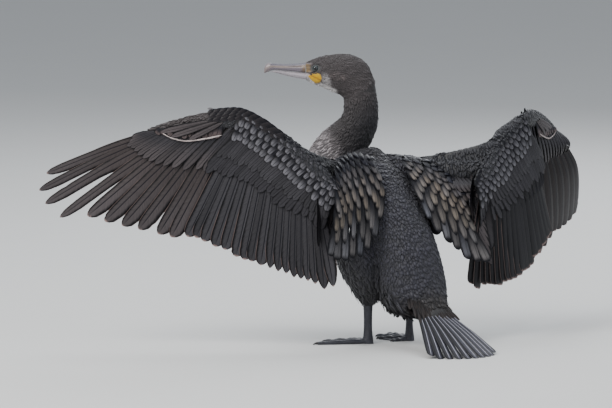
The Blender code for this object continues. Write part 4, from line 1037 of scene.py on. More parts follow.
class Plumes:
    """Collects feathers as arrays and joins them into one mesh."""

    # the stretch over which a feather's colour goes from the root's to the tip's
    fade = (0.42, 0.86)
    # how closely a feather's sections crowd towards its tip
    crowding = 1.35
    # the half width of the shaft's ridge as a share of the vane's, and how steeply a tip thins
    ridge, thinning = 0.12, 6.0
    # the depth of a split in the edge, and how often it is on the leading side
    split, leading_splits = (0.03, 0.12), 0.4

    def __init__(self, name: str, rng: np.random.Generator) -> None:
        """Starts an empty collection."""
        self.name, self.rng = name, rng
        self.points, self.faces, self.colours, self.bends = [], [], [], []
        self.vane, self.barb, self.bake = [], [], []
        self.count = 0

    def feather(self, path: np.ndarray, normals: np.ndarray, width: float, shape: Shape,
                colour: np.ndarray, patch: tuple[float, float, float, float], tilt: float = 0.0,
                camber: float = 0.06, thick: float = 0.35, shaft: float = 0.5,
                sections: int = 20, across: int = 7, notches: int = 0, lead: float = 1.0,
                twist: float = 0.0) -> None:
        """Adds one feather.

        Args:
            path: Design points of the shaft, root first.
            normals: Directions out of the upper face, one or more along the path.
            width: Its full width in millimetres.
            shape: Its outline.
            colour: Its linear colour at root and tip, one or two rows.
            patch: Where its map lies in the OFBake map: u, v, width, height.
            tilt: Degrees by which the leading side is raised.
            camber: How far its edges droop, as a share of its width.
            thick: Its thickness in millimetres.
            shaft: How far the shaft stands up, in millimetres.
            sections: Stations along it.
            across: Points across it, an odd number.
            notches: How many small splits its edge has.
            lead: The side on which the leading vane lies, 1 or -1.
            twist: Degrees by which the tip turns against the root.
        """
        x = np.linspace(0.0, 1.0, sections)
        s = 1.0 - (1.0 - x) ** self.crowding
        centre = blend(path, s)
        ahead = unit(np.gradient(centre, axis=0))
        out = unit(blend(normals, s)) if len(normals) > 1 else np.repeat(
            unit(normals), sections, axis=0)
        side = unit(np.cross(ahead, out)) * lead
        out = unit(np.cross(side, ahead)) * lead
        turn = np.radians(tilt + twist * s)[:, None]
        side, out = (side * np.cos(turn) + out * np.sin(turn),
                     out * np.cos(turn) - side * np.sin(turn))
        profile = np.array(shape.value)
        leading = np.interp(s, profile[:, 0], profile[:, 1])
        trailing = np.interp(s, profile[:, 0], profile[:, 2])
        for _ in range(notches):
            k = self.rng.integers(int(sections * 0.35), sections - 3)
            cut = 1.0 - self.rng.uniform(*self.split)
            if self.rng.random() < self.leading_splits:
                leading[k] *= cut
            else:
                trailing[k] *= cut
        place = np.linspace(-1.0, 1.0, across)
        reach = np.where(place[None, :] < 0, trailing[:, None], leading[:, None]) * place * width
        drop = camber * width * (np.abs(place) ** 1.8)[None, :] * np.sin(
            np.pi * np.clip(s * 0.9 + 0.1, 0, 1))[:, None] ** 0.5
        rise = np.exp(-(place / self.ridge) ** 2)[None, :] * shaft * (1.0 - 0.85 * s)[:, None]
        fade = np.clip((1.0 - s) * self.thinning, 0.25, 1.0)[:, None]
        high = thick / 2 * fade * (1 - np.abs(place) ** 3) - drop + rise
        top = centre[:, None] + side[:, None] * reach[..., None] + out[:, None] * high[..., None]
        inner = slice(1, across - 1)
        low = (centre[:, None] + side[:, None] * reach[:, inner, None]
               - out[:, None] * (thick / 2 * fade + drop[:, inner])[..., None])
        ring = np.concatenate((top, low[:, ::-1]), axis=1)
        spread = np.concatenate((place, place[inner][::-1]))
        metric = np.concatenate((reach, reach[:, inner][:, ::-1]), axis=1)
        run = np.concatenate(([0.0], np.cumsum(np.linalg.norm(np.diff(centre, axis=0), axis=1))))
        self.store(ring, np.atleast_2d(colour), s, spread, metric, run, patch, lead < 0)

    def store(self, ring: np.ndarray, colour: np.ndarray, s: np.ndarray, spread: np.ndarray,
              metric: np.ndarray, run: np.ndarray, patch: tuple[float, float, float, float],
              mirrored: bool) -> None:
        """Adds the rings of one feather to the arrays.

        Args:
            ring: Points by section and place round it.
            colour: Colours at root and tip.
            s: Places of the sections, 0 to 1.
            spread: Places across, -1 to 1.
            metric: Distances from the shaft.
            run: Distances along the shaft.
            patch: Where the feather lies in the OFBake map.
            mirrored: Whether its rings run the other way round.
        """
        first = self.count
        sections, size = ring.shape[0], ring.shape[1]
        self.points.append(ring.reshape(-1, 3))
        grid = first + np.arange(sections * size).reshape(sections, size)
        turned = np.roll(grid, -1, axis=1)
        quads = np.stack((grid[:-1], turned[:-1], turned[1:], grid[1:]), axis=-1)
        self.faces.append(quads.reshape(-1, 4)[:, ::-1 if mirrored else 1])
        half = size // 2
        for row, flip in ((grid[0], not mirrored), (grid[-1], mirrored)):
            for k in range(half):
                quad = (row[k], row[k + 1], row[(size - k - 1) % size], row[(size - k) % size])
                if len(set(quad)) == 4:
                    self.faces.append(np.array([quad if not flip else quad[::-1]]))
                elif len(set(quad)) == 3:
                    corner = [quad[n] for n in range(4) if quad[n] != quad[n - 1]]
                    self.bends.append(corner if not flip else corner[::-1])
        tone = mixed(colour[0], colour[-1], smooth(s, *self.fade))
        self.colours.append(np.repeat(tone, size, axis=0))
        spread = np.broadcast_to(spread, (sections, size))
        down = np.broadcast_to(s[:, None], (sections, size))
        self.vane.append(np.stack((spread / 2 + 0.5, down), axis=-1).reshape(-1, 2))
        length = np.broadcast_to(run[:, None], (sections, size))
        self.barb.append(np.stack((metric / 10.0, length / 10.0), axis=-1).reshape(-1, 2))
        u, v, wide, high = patch
        under = np.where(np.arange(size) > size // 2, 1.0, 0.0)
        self.bake.append(np.stack((u + wide * (spread / 2 + 0.5) * 0.48 + wide * 0.5 * under,
                                   v + high * down), axis=-1).reshape(-1, 2))
        self.count += sections * size

    def finish(self, material: bpy.types.Material, slot: str, *nodes: str,
               sharp: float = 60.0) -> None:
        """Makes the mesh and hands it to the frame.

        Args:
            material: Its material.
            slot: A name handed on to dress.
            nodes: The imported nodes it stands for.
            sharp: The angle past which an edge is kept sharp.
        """
        points = Place.world(np.concatenate(self.points))
        quads = np.concatenate(self.faces)
        threes = np.array(self.bends, dtype=int).reshape(-1, 3)
        mesh = bpy.data.meshes.new(self.name)
        mesh.vertices.add(len(points))
        mesh.vertices.foreach_set("co", points.ravel())
        loops = np.concatenate((quads.ravel(), threes.ravel()))
        mesh.loops.add(len(loops))
        mesh.loops.foreach_set("vertex_index", loops)
        mesh.polygons.add(len(quads) + len(threes))
        starts = np.concatenate((np.arange(len(quads)) * 4,
                                 len(quads) * 4 + np.arange(len(threes)) * 3))
        mesh.polygons.foreach_set("loop_start", starts)
        mesh.update(calc_edges=True)
        for name, store in (("OFBake", self.bake), ("Vane", self.vane), ("Barb", self.barb)):
            if store:
                layer = mesh.uv_layers.new(name=name)
                layer.data.foreach_set("uv", np.concatenate(store)[loops].ravel())
        obj = bpy.data.objects.new(self.name, mesh)
        bpy.context.scene.collection.objects.link(obj)
        Modeller.tint(obj, np.concatenate(self.colours))
        dress(obj, material, sharp, slot, *nodes)


def dress(obj: bpy.types.Object, material: bpy.types.Material, sharp: float, slot: str,
          *nodes: str) -> None:
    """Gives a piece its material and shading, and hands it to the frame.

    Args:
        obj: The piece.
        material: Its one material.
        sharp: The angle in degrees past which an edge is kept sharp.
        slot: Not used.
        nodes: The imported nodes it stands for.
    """
    obj.data.materials.clear()
    obj.data.materials.append(material)
    Modeller.soften(obj, sharp)
    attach(obj, RIDES_ON)
    if nodes:
        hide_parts(*nodes)
    obj.data.calc_loop_triangles()
    LOG.info("%s: %d triangles", obj.name, len(obj.data.loop_triangles))


class Chart:
    """Hands out places in the OFBake map to large feathers, tier by tier along the wing."""

    gap = 0.06

    def __init__(self, rows: int, columns: int) -> None:
        """Sets how many tiers and feathers share the map."""
        self.rows, self.columns = rows, columns

    def patch(self, row: int, column: int) -> tuple[float, float, float, float]:
        """The place of one feather: u, v, width, height."""
        wide, high, inner = 1.0 / self.columns, 1.0 / self.rows, 1.0 - 2 * self.gap
        return (column + self.gap) * wide, (row + self.gap) * high, wide * inner, high * inner


class Coat(Plumes):
    """Small feathers that lie along the skin, each a thin closed leaf of a few faces."""

    stations = np.array((0.0, 0.35, 0.72, 1.0))
    leaf = np.array((0.42, 0.95, 0.8, 0.2))
    hump, droop, thick = 0.03, 0.03, 0.22
    # the spacing of the wavy ridges, and the strength of the painted light and shade on them:
    # raised crests lighter, troughs darker
    wave, wave_tone = 6.5, 0.5
    # a leaf whose first and last normals agree less than this would wrap round an edge
    sharpest = 0.3
    # half the width of a leaf's patch in the OFBake map
    patch = 0.0015

    def grow(self, skin: BVHTree, roots: np.ndarray, heads: np.ndarray, length: np.ndarray,
             width: np.ndarray, lift: np.ndarray, unwrap: np.ndarray, tone: np.ndarray,
             deepest: float = 4.5, stray: float = 0.12) -> None:
        """Lays a leaf from each root along the skin.

        Args:
            skin: The skin's surface, in metres.
            roots: Design points near the skin.
            heads: The way each leaf points.
            length: Lengths in millimetres.
            width: Widths in millimetres.
            lift: How far each tip stands off the skin.
            unwrap: Each root's place on an unwrap of the skin, 0 to 1.
            tone: A factor on each leaf's colour: the painted light and shade of the wavy ridges.
            deepest: Roots further than this from the skin grow nothing.
            stray: How far the leaves stray from their way.
        """
        count = len(roots)
        length, width, lift = (np.broadcast_to(np.asarray(a, float), count)
                               for a in (length, width, lift))
        heads = unit(unit(heads) + self.rng.normal(0.0, stray, (count, 3)))
        steps = np.diff(self.stations)
        kept, centres, normals, ways = [], [], [], []
        starts = Place.world(roots)
        for k in range(count):
            place, normal, _, distance = skin.find_nearest(Vector(starts[k]))
            if place is None or distance > deepest * MM:
                continue
            way = Vector(heads[k])
            line, outs, runs = [], [], []
            for step in (*steps, 0.0):
                way = (way - normal * way.dot(normal)).normalized()
                line.append(tuple(place))
                outs.append(tuple(normal))
                runs.append(tuple(way))
                if step:
                    ahead = place + way * (step * length[k] * MM)
                    place, normal, _, _ = skin.find_nearest(ahead)
            if float(np.dot(outs[0], outs[-1])) < self.sharpest:
                continue
            kept.append(k)
            centres.append(line)
            normals.append(outs)
            ways.append(runs)
        if not kept:
            return
        centre = Place.design(np.array(centres))
        out, way = np.array(normals), np.array(ways)
        out = unit(out + out.mean(axis=1, keepdims=True))
        side = unit(np.cross(way, out))
        s = self.stations[None, :]
        half = width[kept][:, None] / 2 * self.leaf[None, :]
        high = -0.5 + (lift[kept][:, None] + 0.5) * s + self.hump * width[kept][:, None] * np.sin(
            np.pi * s * 0.9)
        droop = self.droop * half
        rings = np.stack((
            centre - side * half[..., None] + out * (high - droop)[..., None],
            centre + out * (high + self.thick)[..., None],
            centre + side * half[..., None] + out * (high - droop)[..., None],
            centre + out * (high - self.thick)[..., None],
        ), axis=2)
        number, sections = len(kept), len(self.stations)
        base = self.count + np.arange(number * sections * 4).reshape(number, sections, 4)
        turned = np.roll(base, -1, axis=2)
        quads = np.stack((base[:, :-1], turned[:, :-1], turned[:, 1:], base[:, 1:]), axis=-1)
        self.faces += [quads.reshape(-1, 4), base[:, 0, ::-1], base[:, -1]]
        self.points.append(rings.reshape(-1, 3))
        colour = Markings.at(roots[kept])
        colour = colour * self.rng.uniform(0.94, 1.06, (number, 1))
        colour = colour * tone[kept][:, None]
        # painted light and shade on each leaf: darkest at its root, lightest just short of its
        # tip, its top ridge lighter, its edges darker and its underside darkest
        shade = np.array((0.8, 0.98, 1.04, 0.94))[None, :, None, None]
        ridge = np.array((0.97, 1.03, 0.97, 0.8))[None, None, :, None]
        self.colours.append((colour[:, None, None] * shade * ridge).reshape(-1, 3))
        patch = np.stack(np.broadcast_arrays(
            np.array((-1.0, 0.0, 1.0, 0.0))[None, None, :], s[..., None] * 2 - 1), axis=-1)
        spot = 0.01 + 0.98 * unwrap[kept][:, None, None] + patch * self.patch
        self.bake.append(spot.reshape(-1, 2))
        self.count += number * sections * 4

    def cover(self, skin: BVHTree, tube: Tube, ends: tuple[float, float],
              size: tuple[float, float], lift: float, chart: tuple[float, float] = (0.0, 1.0),
              density: tuple[float, float] = (0.4, 0.72), way: np.ndarray | None = None,
              keep: object = None, **settings: object) -> None:
        """Covers a stretch of a tube.

        Args:
            skin: The skin's surface.
            tube: The tube.
            ends: The stretch of it.
            size: Length and width of a leaf.
            lift: How far the tips stand off.
            chart: The share of the OFBake map's width that this stretch takes.
            density: Spacing of rows and within rows, as shares of length and width.
            way: The way the leaves point, or None for back along the tube.
            keep: A test on places, turns and points that says where leaves grow.
            settings: More of what grow takes.
        """
        t, turn = tube.scatter(size[0] * density[0], size[1] * density[1], ends, self.rng)
        roots = tube.points(t, turn, 2.0)
        if way is None:
            heads = tube.points(t - 0.004, turn) - tube.points(t + 0.004, turn)
        else:
            heads = np.broadcast_to(way, roots.shape)
        chosen = np.ones(len(t), bool) if keep is None else keep(t, turn, roots)
        unwrap = np.stack((chart[0] + (turn / (2 * math.pi) % 1.0) * (chart[1] - chart[0]),
                           (t - ends[0]) / (ends[1] - ends[0])), axis=-1)
        vary = self.rng.uniform(0.8, 1.2, len(t))
        waves = smooth(ripple(roots * (0.3, 0.3, 1.0), self.wave, 4.0), -0.2, 0.7)
        high = lift * (0.5 + 1.1 * waves)
        # painted light and shade that follows the ridges' lift: crests lighter, troughs darker
        tone = 1.0 + self.wave_tone * (waves - 0.45)
        self.grow(skin, roots[chosen], heads[chosen], size[0] * vary[chosen],
                  size[1] * self.rng.uniform(0.85, 1.15, int(chosen.sum())), high[chosen],
                  unwrap[chosen], tone=tone[chosen], **settings)


FLIGHT = FeatherFinish("flight_feather", margin=(0.003, 0.003, 0.004), margin_share=0.52,
                       fringe=(0.30, 0.21, 0.19), fringe_share=0.03,
                       shaft=(0.008, 0.008, 0.011), shaft_share=0.06, inner=0.8)
COVERT = FeatherFinish("covert", margin=(0.005, 0.005, 0.006), margin_share=0.45,
                       fringe=(0.05, 0.045, 0.047), fringe_share=0.0,
                       shaft=(0.012, 0.012, 0.014), shaft_share=0.05, inner=0.8)
SCALY = FeatherFinish("scaly_covert", margin=(0.004, 0.004, 0.005), margin_share=0.46,
                      fringe=(0.05, 0.045, 0.047), fringe_share=0.0,
                      shaft=(0.02, 0.02, 0.023), shaft_share=0.05, inner=0.92, round_tip=0.3,
                      contrast=0.35)
MANTLE = FeatherFinish("mantle_feather", margin=(0.007, 0.007, 0.009), margin_share=0.5,
                       fringe=(0.06, 0.055, 0.055), fringe_share=0.0,
                       shaft=(0.03, 0.029, 0.03), shaft_share=0.045, inner=0.88, round_tip=0.34,
                       contrast=0.3, roughness=0.55)
# its margin is lighter than the feathers it is laid on: a painted highlight along each feather's
# edge
GLOSSY = FeatherFinish("glossy_feather", margin=(0.036, 0.036, 0.043), margin_share=0.1,
                       fringe=(0.05, 0.045, 0.047), fringe_share=0.0,
                       shaft=(0.012, 0.012, 0.014), shaft_share=0.05, inner=0.8, round_tip=0.1,
                       contrast=0.3, roughness=0.36)
TAIL = FeatherFinish("tail_feather", margin=(0.003, 0.003, 0.005), margin_share=0.62,
                     fringe=(0.12, 0.11, 0.12), fringe_share=0.02,
                     shaft=(0.42, 0.42, 0.49), shaft_share=0.06, inner=0.5)


@dataclass(frozen=True)
class Tier:
    """One row of feathers on a wing: its curves on the sheet and how the feathers lie."""

    segment: Segment
    roots: tuple | np.ndarray
    tips: tuple | np.ndarray
    count: int
    width: tuple[float, float]
    shape: Shape
    lift: tuple[float, float]
    bow: tuple[float, ...]
    belly: float
    colour: tuple[tuple[float, float, float], tuple[float, float, float]]
    camber: float = 0.08
    offset: float = 0.0
    sections: int = 14
    notches: int = 0
    stray: float = 1.0
    tilt: float = 5.5
    shaft: float = 0.4


class WingDress:
    """The feathers of one wing."""

    primary_roots = ((165.0, 131.0), (200.0, 129.0), (231.0, 126.0))
    primary_tips = (
        (48.0, 174.0), (41.0, 190.7), (47.0, 204.0), (61.0, 218.0), (88.5, 216.7),
        (106.0, 221.6), (123.0, 226.5), (139.5, 230.0), (159.0, 234.6), (172.0, 237.0),
    )
    secondary_roots = ((243.0, 127.0), (280.0, 152.0), (315.0, 186.0))
    secondary_tips = (
        (188.0, 237.0), (196.0, 238.5), (204.0, 242.0), (215.0, 247.0), (225.0, 250.0),
        (236.0, 257.0), (244.5, 260.0), (251.6, 261.5), (260.7, 265.4), (269.8, 269.0),
        (278.0, 271.0), (286.0, 274.0), (293.7, 278.0), (300.7, 279.5), (307.7, 281.0),
        (315.0, 284.0), (324.0, 289.5), (333.0, 287.0),
    )
    primary_covert_tips = ((134.0, 138.0), (130.0, 147.0), (145.0, 157.5), (168.0, 167.0),
                           (204.0, 171.0))
    folded_primary_tips = (
        (61.8, 220.0), (77.3, 226.7), (94.6, 231.6), (113.6, 235.1), (131.1, 236.6),
        (148.2, 243.1), (165.2, 251.6), (184.0, 258.0), (206.1, 262.9), (231.5, 266.1),
    )
    folded_covert_tips = ((126.0, 162.0), (140.0, 168.0), (155.0, 173.0), (178.0, 178.0),
                          (212.0, 181.0))
    folded_bow = (22.0, 21.0, 19.0, 16.0, 12.0, 8.0, 3.0, 0.0, 0.0, 0.0)
    secondary_covert_tips = ((206.0, 170.0), (229.0, 177.5), (256.0, 190.0), (285.0, 208.0),
                             (320.0, 230.0))
    scaly_edge = ((232.0, 140.0), (252.0, 152.0), (278.0, 170.0), (300.0, 189.0), (328.0, 212.0))
    alula_roots = ((213.0, 121.0), (218.0, 122.0), (223.0, 123.0))
    alula_tips = ((162.0, 132.5), (172.0, 137.0), (190.0, 139.5))
    wisp = ((218.0, 112.6), (212.5, 109.6), (208.0, 109.2))
    scaly_rows = 4
    pale_line = ((222.0, 135.5), (206.9, 138.8), (191.0, 141.1), (173.7, 138.8), (163.0, 133.4))
    marginal_line = ((208.0, 111.0), (222.0, 109.8), (238.0, 109.0), (252.0, 113.5),
                     (268.0, 123.0), (284.0, 135.0))

    # the right wing's scaly rows begin this far from the wrist, and its flight feathers are
    # this much darker: a painted shade on the far wing's copy of the same feathers
    wrist_share, shaded = 0.09, 0.36

    dark = (0.026, 0.023, 0.025)
    brown = (0.056, 0.046, 0.046)
    slate = (0.020, 0.019, 0.024)
    strip = (0.046, 0.044, 0.049)
    pale = (0.145, 0.141, 0.156)
    grey = (0.038, 0.036, 0.041)
    umber = (0.074, 0.064, 0.066)
    mauve = (0.095, 0.080, 0.082)
    glossy = (0.006, 0.006, 0.009)
    rosy = (0.120, 0.092, 0.090)
    russet = (0.070, 0.054, 0.051)

    def __init__(self, wing: Wing, rng: np.random.Generator) -> None:
        """Takes the wing and the source of variety."""
        self.wing, self.rng = wing, rng

    def lead(self, f: np.ndarray) -> np.ndarray:
        """Places along the forearm's leading edge, from the wrist to the elbow."""
        return blend(np.array(self.wing.forearm_rows)[:, 0:2], f)

    def surface(self, f: np.ndarray) -> np.ndarray:
        """How high the flesh rises at a share of the way from the leading to the scaly edge."""
        c = np.clip(2 * np.asarray(f, float) / 1.15 - 1.0, -1.0, 1.0)
        over = 10.0 * np.sqrt(1 - c * c)
        return np.where(np.asarray(f) > 0.575, 10.0 - (np.asarray(f) - 0.575) * 8.5, over)

    def forearm_tiers(self) -> list[Tier]:
        """The rows on the forearm, flight feathers first."""
        rows = np.array(self.wing.forearm_rows)
        late = rows[:, 0:2] * 0.25 + rows[:, 2:4] * 0.75
        late[0] = (246.0, 131.0)
        under = (np.array(self.scaly_edge) + np.array(self.secondary_covert_tips)) / 2
        tiers = [
            Tier(Segment.FOREARM, self.secondary_roots, self.secondary_tips, 18, (27.0, 24.0),
                 Shape.SECONDARY, (0.0, 0.0), (0.0, 0.0), 24.0, (self.strip, self.strip), 0.09,
                 sections=26, notches=1, tilt=7.0, shaft=0.7),
            Tier(Segment.FOREARM, late, self.secondary_covert_tips, 22,
                 (17.0, 18.0), Shape.LONG, (4.4, 3.0), (0.7, 0.7), 13.0, (self.grey, self.grey),
                 0.1, sections=16, stray=7.0),
            Tier(Segment.FOREARM, late, under, 26,
                 (14.0, 15.0), Shape.LONG, (6.2, 5.4), (0.7, 0.7), 9.0, (self.grey, self.strip),
                 0.1, sections=12, stray=5.0),
        ]
        edge, lead = np.array(self.scaly_edge), self.lead(np.linspace(0.02, 1.0, 5))
        for row in reversed(range(self.scaly_rows)):
            tip = (row + 1) / self.scaly_rows
            root = tip - 0.55
            reach = max(root, 0.02)
            count = 17 if row % 2 else 18
            near, far = (lead + (edge - lead) * f for f in (reach, tip))
            share = 0.7 + 0.3 * row / (self.scaly_rows - 1)
            tone = tuple(np.array(self.pale) * share)
            tiers.append(Tier(
                Segment.FOREARM, near, far, count,
                (15.0, 17.0), Shape.LANCET,
                (float(self.surface(reach)) - 0.6, float(self.surface(tip)) + 1.4), (1.0, 1.0),
                7.0 * tip, (self.glossy, tone), 0.16, offset=0.5 * (row % 2), sections=12,
                stray=3.0))
        return tiers

    def hand_tiers(self) -> list[Tier]:
        """The rows on the hand, flight feathers first."""
        rows = np.array(self.wing.hand_rows)[::-1]
        late = rows[:-1, 0:2] / 3 + rows[:-1, 2:4] * 2 / 3
        late = np.vstack((late, (240.0, 127.0)))
        half = (rows[1:-1, 0:2] + rows[1:-1, 2:4]) / 2
        left = self.wing.side is Side.LEFT
        tips = self.primary_tips if left else self.folded_primary_tips
        covers = self.primary_covert_tips if left else self.folded_covert_tips
        bow, rise = ((0.0, 0.0), 0.0) if left else (self.folded_bow, 1.0)
        width, tilt = ((23.0, 29.0), 7.0) if left else ((34.0, 38.0), -15.0)
        return [
            Tier(Segment.HAND, self.primary_roots, tips, 10, width, Shape.PRIMARY,
                 (-1.0, -1.0), bow, 0.0, (self.brown, self.umber), 0.1, sections=30, notches=1,
                 tilt=tilt, shaft=0.8),
            Tier(Segment.HAND, late, covers, 15,
                 (11.0, 17.0), Shape.LONG, (2.0, 2.6), (0.5 + 20.0 * rise, 0.5), 0.0,
                 (self.grey, self.umber), 0.1, sections=16, stray=2.5),
            Tier(Segment.HAND, half,
                 ((158.0, 134.0), (178.0, 137.5), (198.0, 139.5), (216.0, 139.0)), 10,
                 (13.0, 17.0), Shape.COVERT, (4.0, 5.0 + 5.0 * rise), (0.8, 0.8), 0.0,
                 (self.slate, self.rosy), 0.1, sections=12),
        ]

    def build(self) -> None:
        """Makes the feather pieces of the wing."""
        side = self.wing.side.value
        tiers = {Segment.FOREARM: self.forearm_tiers(), Segment.HAND: self.hand_tiers()}
        for segment, rows in tiers.items():
            remiges = Plumes("remiges_%s_%s" % (segment.value, side), self.rng)
            self.lay(remiges, rows[0], Chart(2, 20), 0)
            remiges.finish(FLIGHT.material(), "flight_feathers",
                           "wing_%s_%s" % (side, segment.value))
            coverts = Plumes("coverts_%s_%s" % (segment.value, side), self.rng)
            chart = Chart(12, 28)
            if segment is Segment.FOREARM:
                scaly = Plumes("scaly_coverts_" + side, self.rng)
                for k, row in enumerate(rows[-self.scaly_rows:]):
                    self.lay(scaly, row, Chart(self.scaly_rows, 20), k)
                scaly.finish(SCALY.material(), "wing_coverts")
                rows = rows[:-self.scaly_rows]
            for k, row in enumerate(rows[1:]):
                self.lay(coverts, row, chart, k)
            for k, row in enumerate(self.lining(segment)):
                self.lay(coverts, row, chart, 8 + k)
            if segment is Segment.HAND:
                self.alula(coverts, chart, 5)
                self.tertials()
                if self.wing.side is Side.LEFT:
                    self.marginals()
            coverts.finish(COVERT.material(), "wing_coverts")

    def tertials(self) -> None:
        """Makes the innermost wing feathers and their coverts, hung from the upper arm."""
        plumes, chart = Plumes("tertials_" + self.wing.side.value, self.rng), Chart(4, 10)
        elbow, _ = self.wing.elbow()
        span = self.wing.shoulder - elbow
        out = unit(np.cross(span, UP)) * self.wing.sign
        for row, (count, share, width, high, tone) in enumerate((
                (6, 1.0, 25.0, 0.0, self.strip), (7, 0.66, 20.0, 2.0, self.russet),
                (8, 0.42, 16.0, 4.0, self.umber))):
            for k in range(count):
                f = (k + 0.5 * (row % 2)) / count
                root = elbow + span * (0.05 + 0.86 * f) + UP * (5.0 * row - 16.0)
                hang = self.wing.hang * share * (1.0 - 0.3 * f) * self.rng.uniform(0.94, 1.06)
                tip = root + hang + out * high
                path = np.array((root + out * (high + 4.0), (root + tip) / 2 + out * (high + 4.5),
                                 tip))
                plumes.feather(path, out[None], width, Shape.COVERT,
                               np.array((self.dark, tone)) * self.rng.uniform(0.8, 1.15),
                               chart.patch(row, k), tilt=6.0 * self.wing.sign, camber=0.12,
                               lead=self.wing.sign, sections=14)
        if self.wing.side is Side.RIGHT:
            self.elbow_fan(plumes, chart)
        plumes.finish(COVERT.material(), "wing_coverts")

    def elbow_fan(self, plumes: Plumes, chart: Chart) -> None:
        """The brown feathers between the right cape and the right forearm."""
        for k in range(8):
            root = sheet(450.0 + 2.8 * k, 187.0 - 0.4 * k, 44.0 - 1.5 * k)
            tip = sheet(492.0 - 1.4 * k, 264.0 - 7.5 * k, 4.0 + 3.5 * k)
            middle = (root + tip) / 2 + TOWARD_VIEWER * 5.0
            plumes.feather(np.array((root, middle, tip)), unit(TOWARD_VIEWER)[None], 17.0,
                           Shape.LONG, np.array((self.strip, self.umber)), chart.patch(3, k),
                           tilt=-7.0, camber=0.12, lead=-1.0, sections=16)
        for row, tone in enumerate((self.mauve, self.umber)):
            for k in range(7):
                root = sheet(446.0 + 4.0 * k, 181.0 - 5.0 * row + 0.3 * k, 48.0 - 1.5 * k)
                tip = sheet(454.0 + 4.4 * k, 200.0 - 8.0 * row - 0.4 * k, 36.0 - 1.5 * k)
                lift = TOWARD_VIEWER * (4.0 + 3.0 * row)
                path = np.array((root, (root + tip) / 2 + lift * 1.5, tip + lift))
                plumes.feather(path, unit(TOWARD_VIEWER)[None], 12.5, Shape.COVERT,
                               np.array((self.strip, tone)) * self.rng.uniform(0.8, 1.2),
                               chart.patch(2 - row, 2 + k), tilt=-7.0, camber=0.14, lead=-1.0,
                               sections=10)

    def lining(self, segment: Segment) -> list[Tier]:
        """The coverts of the wing's under side."""
        if segment is Segment.HAND:
            return [Tier(segment, ((165.0, 130.0), (200.0, 127.0), (232.0, 123.0)),
                         ((122.0, 153.0), (150.0, 172.0), (192.0, 182.0)), 9, (17.0, 21.0),
                         Shape.COVERT, (-4.0, -4.2), (-0.6, -0.6), 0.0, (self.slate, self.slate),
                         -0.1)]
        lead = self.lead(np.linspace(0.0, 0.96, 5))
        return [
            Tier(segment, self.secondary_roots, ((203.0, 186.0), (258.0, 205.0), (326.0, 240.0)),
                 15, (20.0, 21.0), Shape.COVERT, (-4.5, -3.2), (-0.5, -0.5), 14.0,
                 (self.slate, self.slate), -0.1),
            Tier(segment, lead, ((222.0, 160.0), (246.0, 170.0), (274.0, 187.0), (296.0, 206.0),
                                 (326.0, 228.0)), 15, (18.0, 19.0), Shape.COVERT,
                 (-6.0, -6.5), (-4.5, -4.5), 9.0, (self.slate, self.brown), -0.1),
        ]

    def alula(self, plumes: Plumes, chart: Chart, row: int) -> None:
        """The small stiff feathers at the wrist, the pale edge under them and a loose wisp."""
        roots = self.wing.point(Segment.HAND, self.alula_roots, 7.0)
        tips = self.wing.point(Segment.HAND, self.alula_tips, 5.6)
        out = self.wing.dorsal(Segment.HAND)
        for k, (root, tip) in enumerate(zip(roots, tips)):
            middle = (root + tip) / 2 + out * (2.0 + 1.1 * k)
            path = np.array((root, middle, tip + out * 0.9 * k))
            plumes.feather(path, out[None], 12.5 - k, Shape.COVERT,
                           np.array((self.umber, self.mauve)), chart.patch(row, k),
                           tilt=9.0 * self.wing.sign, camber=0.12, lead=self.wing.sign,
                           sections=16)
        high = 7.5 if self.wing.side is Side.LEFT else 12.0
        for k in range(6):
            part = np.linspace(k / 7.0, (k + 1.9) / 7.0, 5)
            line = blend(np.array(self.pale_line), np.minimum(part, 1.0))
            line = line + self.rng.uniform(-0.35, 0.35, (1, 2))
            path = self.wing.point(Segment.HAND, line, high - 0.25 * k)
            tone = np.array((0.62, 0.53, 0.51)) * self.rng.uniform(0.6, 1.1)
            plumes.feather(path, out[None], 3.4 - 0.25 * k, Shape.COVERT, tone,
                           chart.patch(row, 5 + k), camber=0.1, lead=self.wing.sign, sections=12)
        if self.wing.side is Side.LEFT:
            wisp = self.wing.point(Segment.HAND, self.wisp, 3.0)
            plumes.feather(wisp, out[None], 3.4, Shape.SCALE, np.array((0.2, 0.19, 0.2)),
                           chart.patch(row, 12), camber=0.1, lead=self.wing.sign, sections=8)

    def marginals(self) -> None:
        """Makes the glossy black feathers laid like tiles along the wing's leading edge."""
        plumes, chart = Plumes("marginals_" + self.wing.side.value, self.rng), Chart(4, 14)
        line = np.array(self.marginal_line)
        for row, (lower, count, high) in enumerate((
                (8.5, 11, 7.6), (4.8, 12, 7.0), (1.6, 12, 5.0))):
            for k in range(count):
                f = (k + 0.5 * (row % 2)) / count
                way = np.minimum(np.array((f + 0.2, f + 0.1, f)), 1.0)
                places = blend(line, way) + ((0.0, lower), (0.0, lower), (0.0, lower + 1.5))
                segment = Segment.HAND if places[1, 0] < 238.0 else Segment.FOREARM
                path = self.wing.point(segment, places, np.array((high - 2.5, high, high + 1.2)))
                plumes.feather(path, self.wing.dorsal(segment)[None],
                               10.5 * self.rng.uniform(0.9, 1.1), Shape.LANCET,
                               np.array((self.glossy, self.dark)), chart.patch(row, k),
                               tilt=-8.0 * self.wing.sign, camber=0.16, lead=self.wing.sign,
                               sections=10)
        plumes.finish(GLOSSY.material(), "wing_coverts")

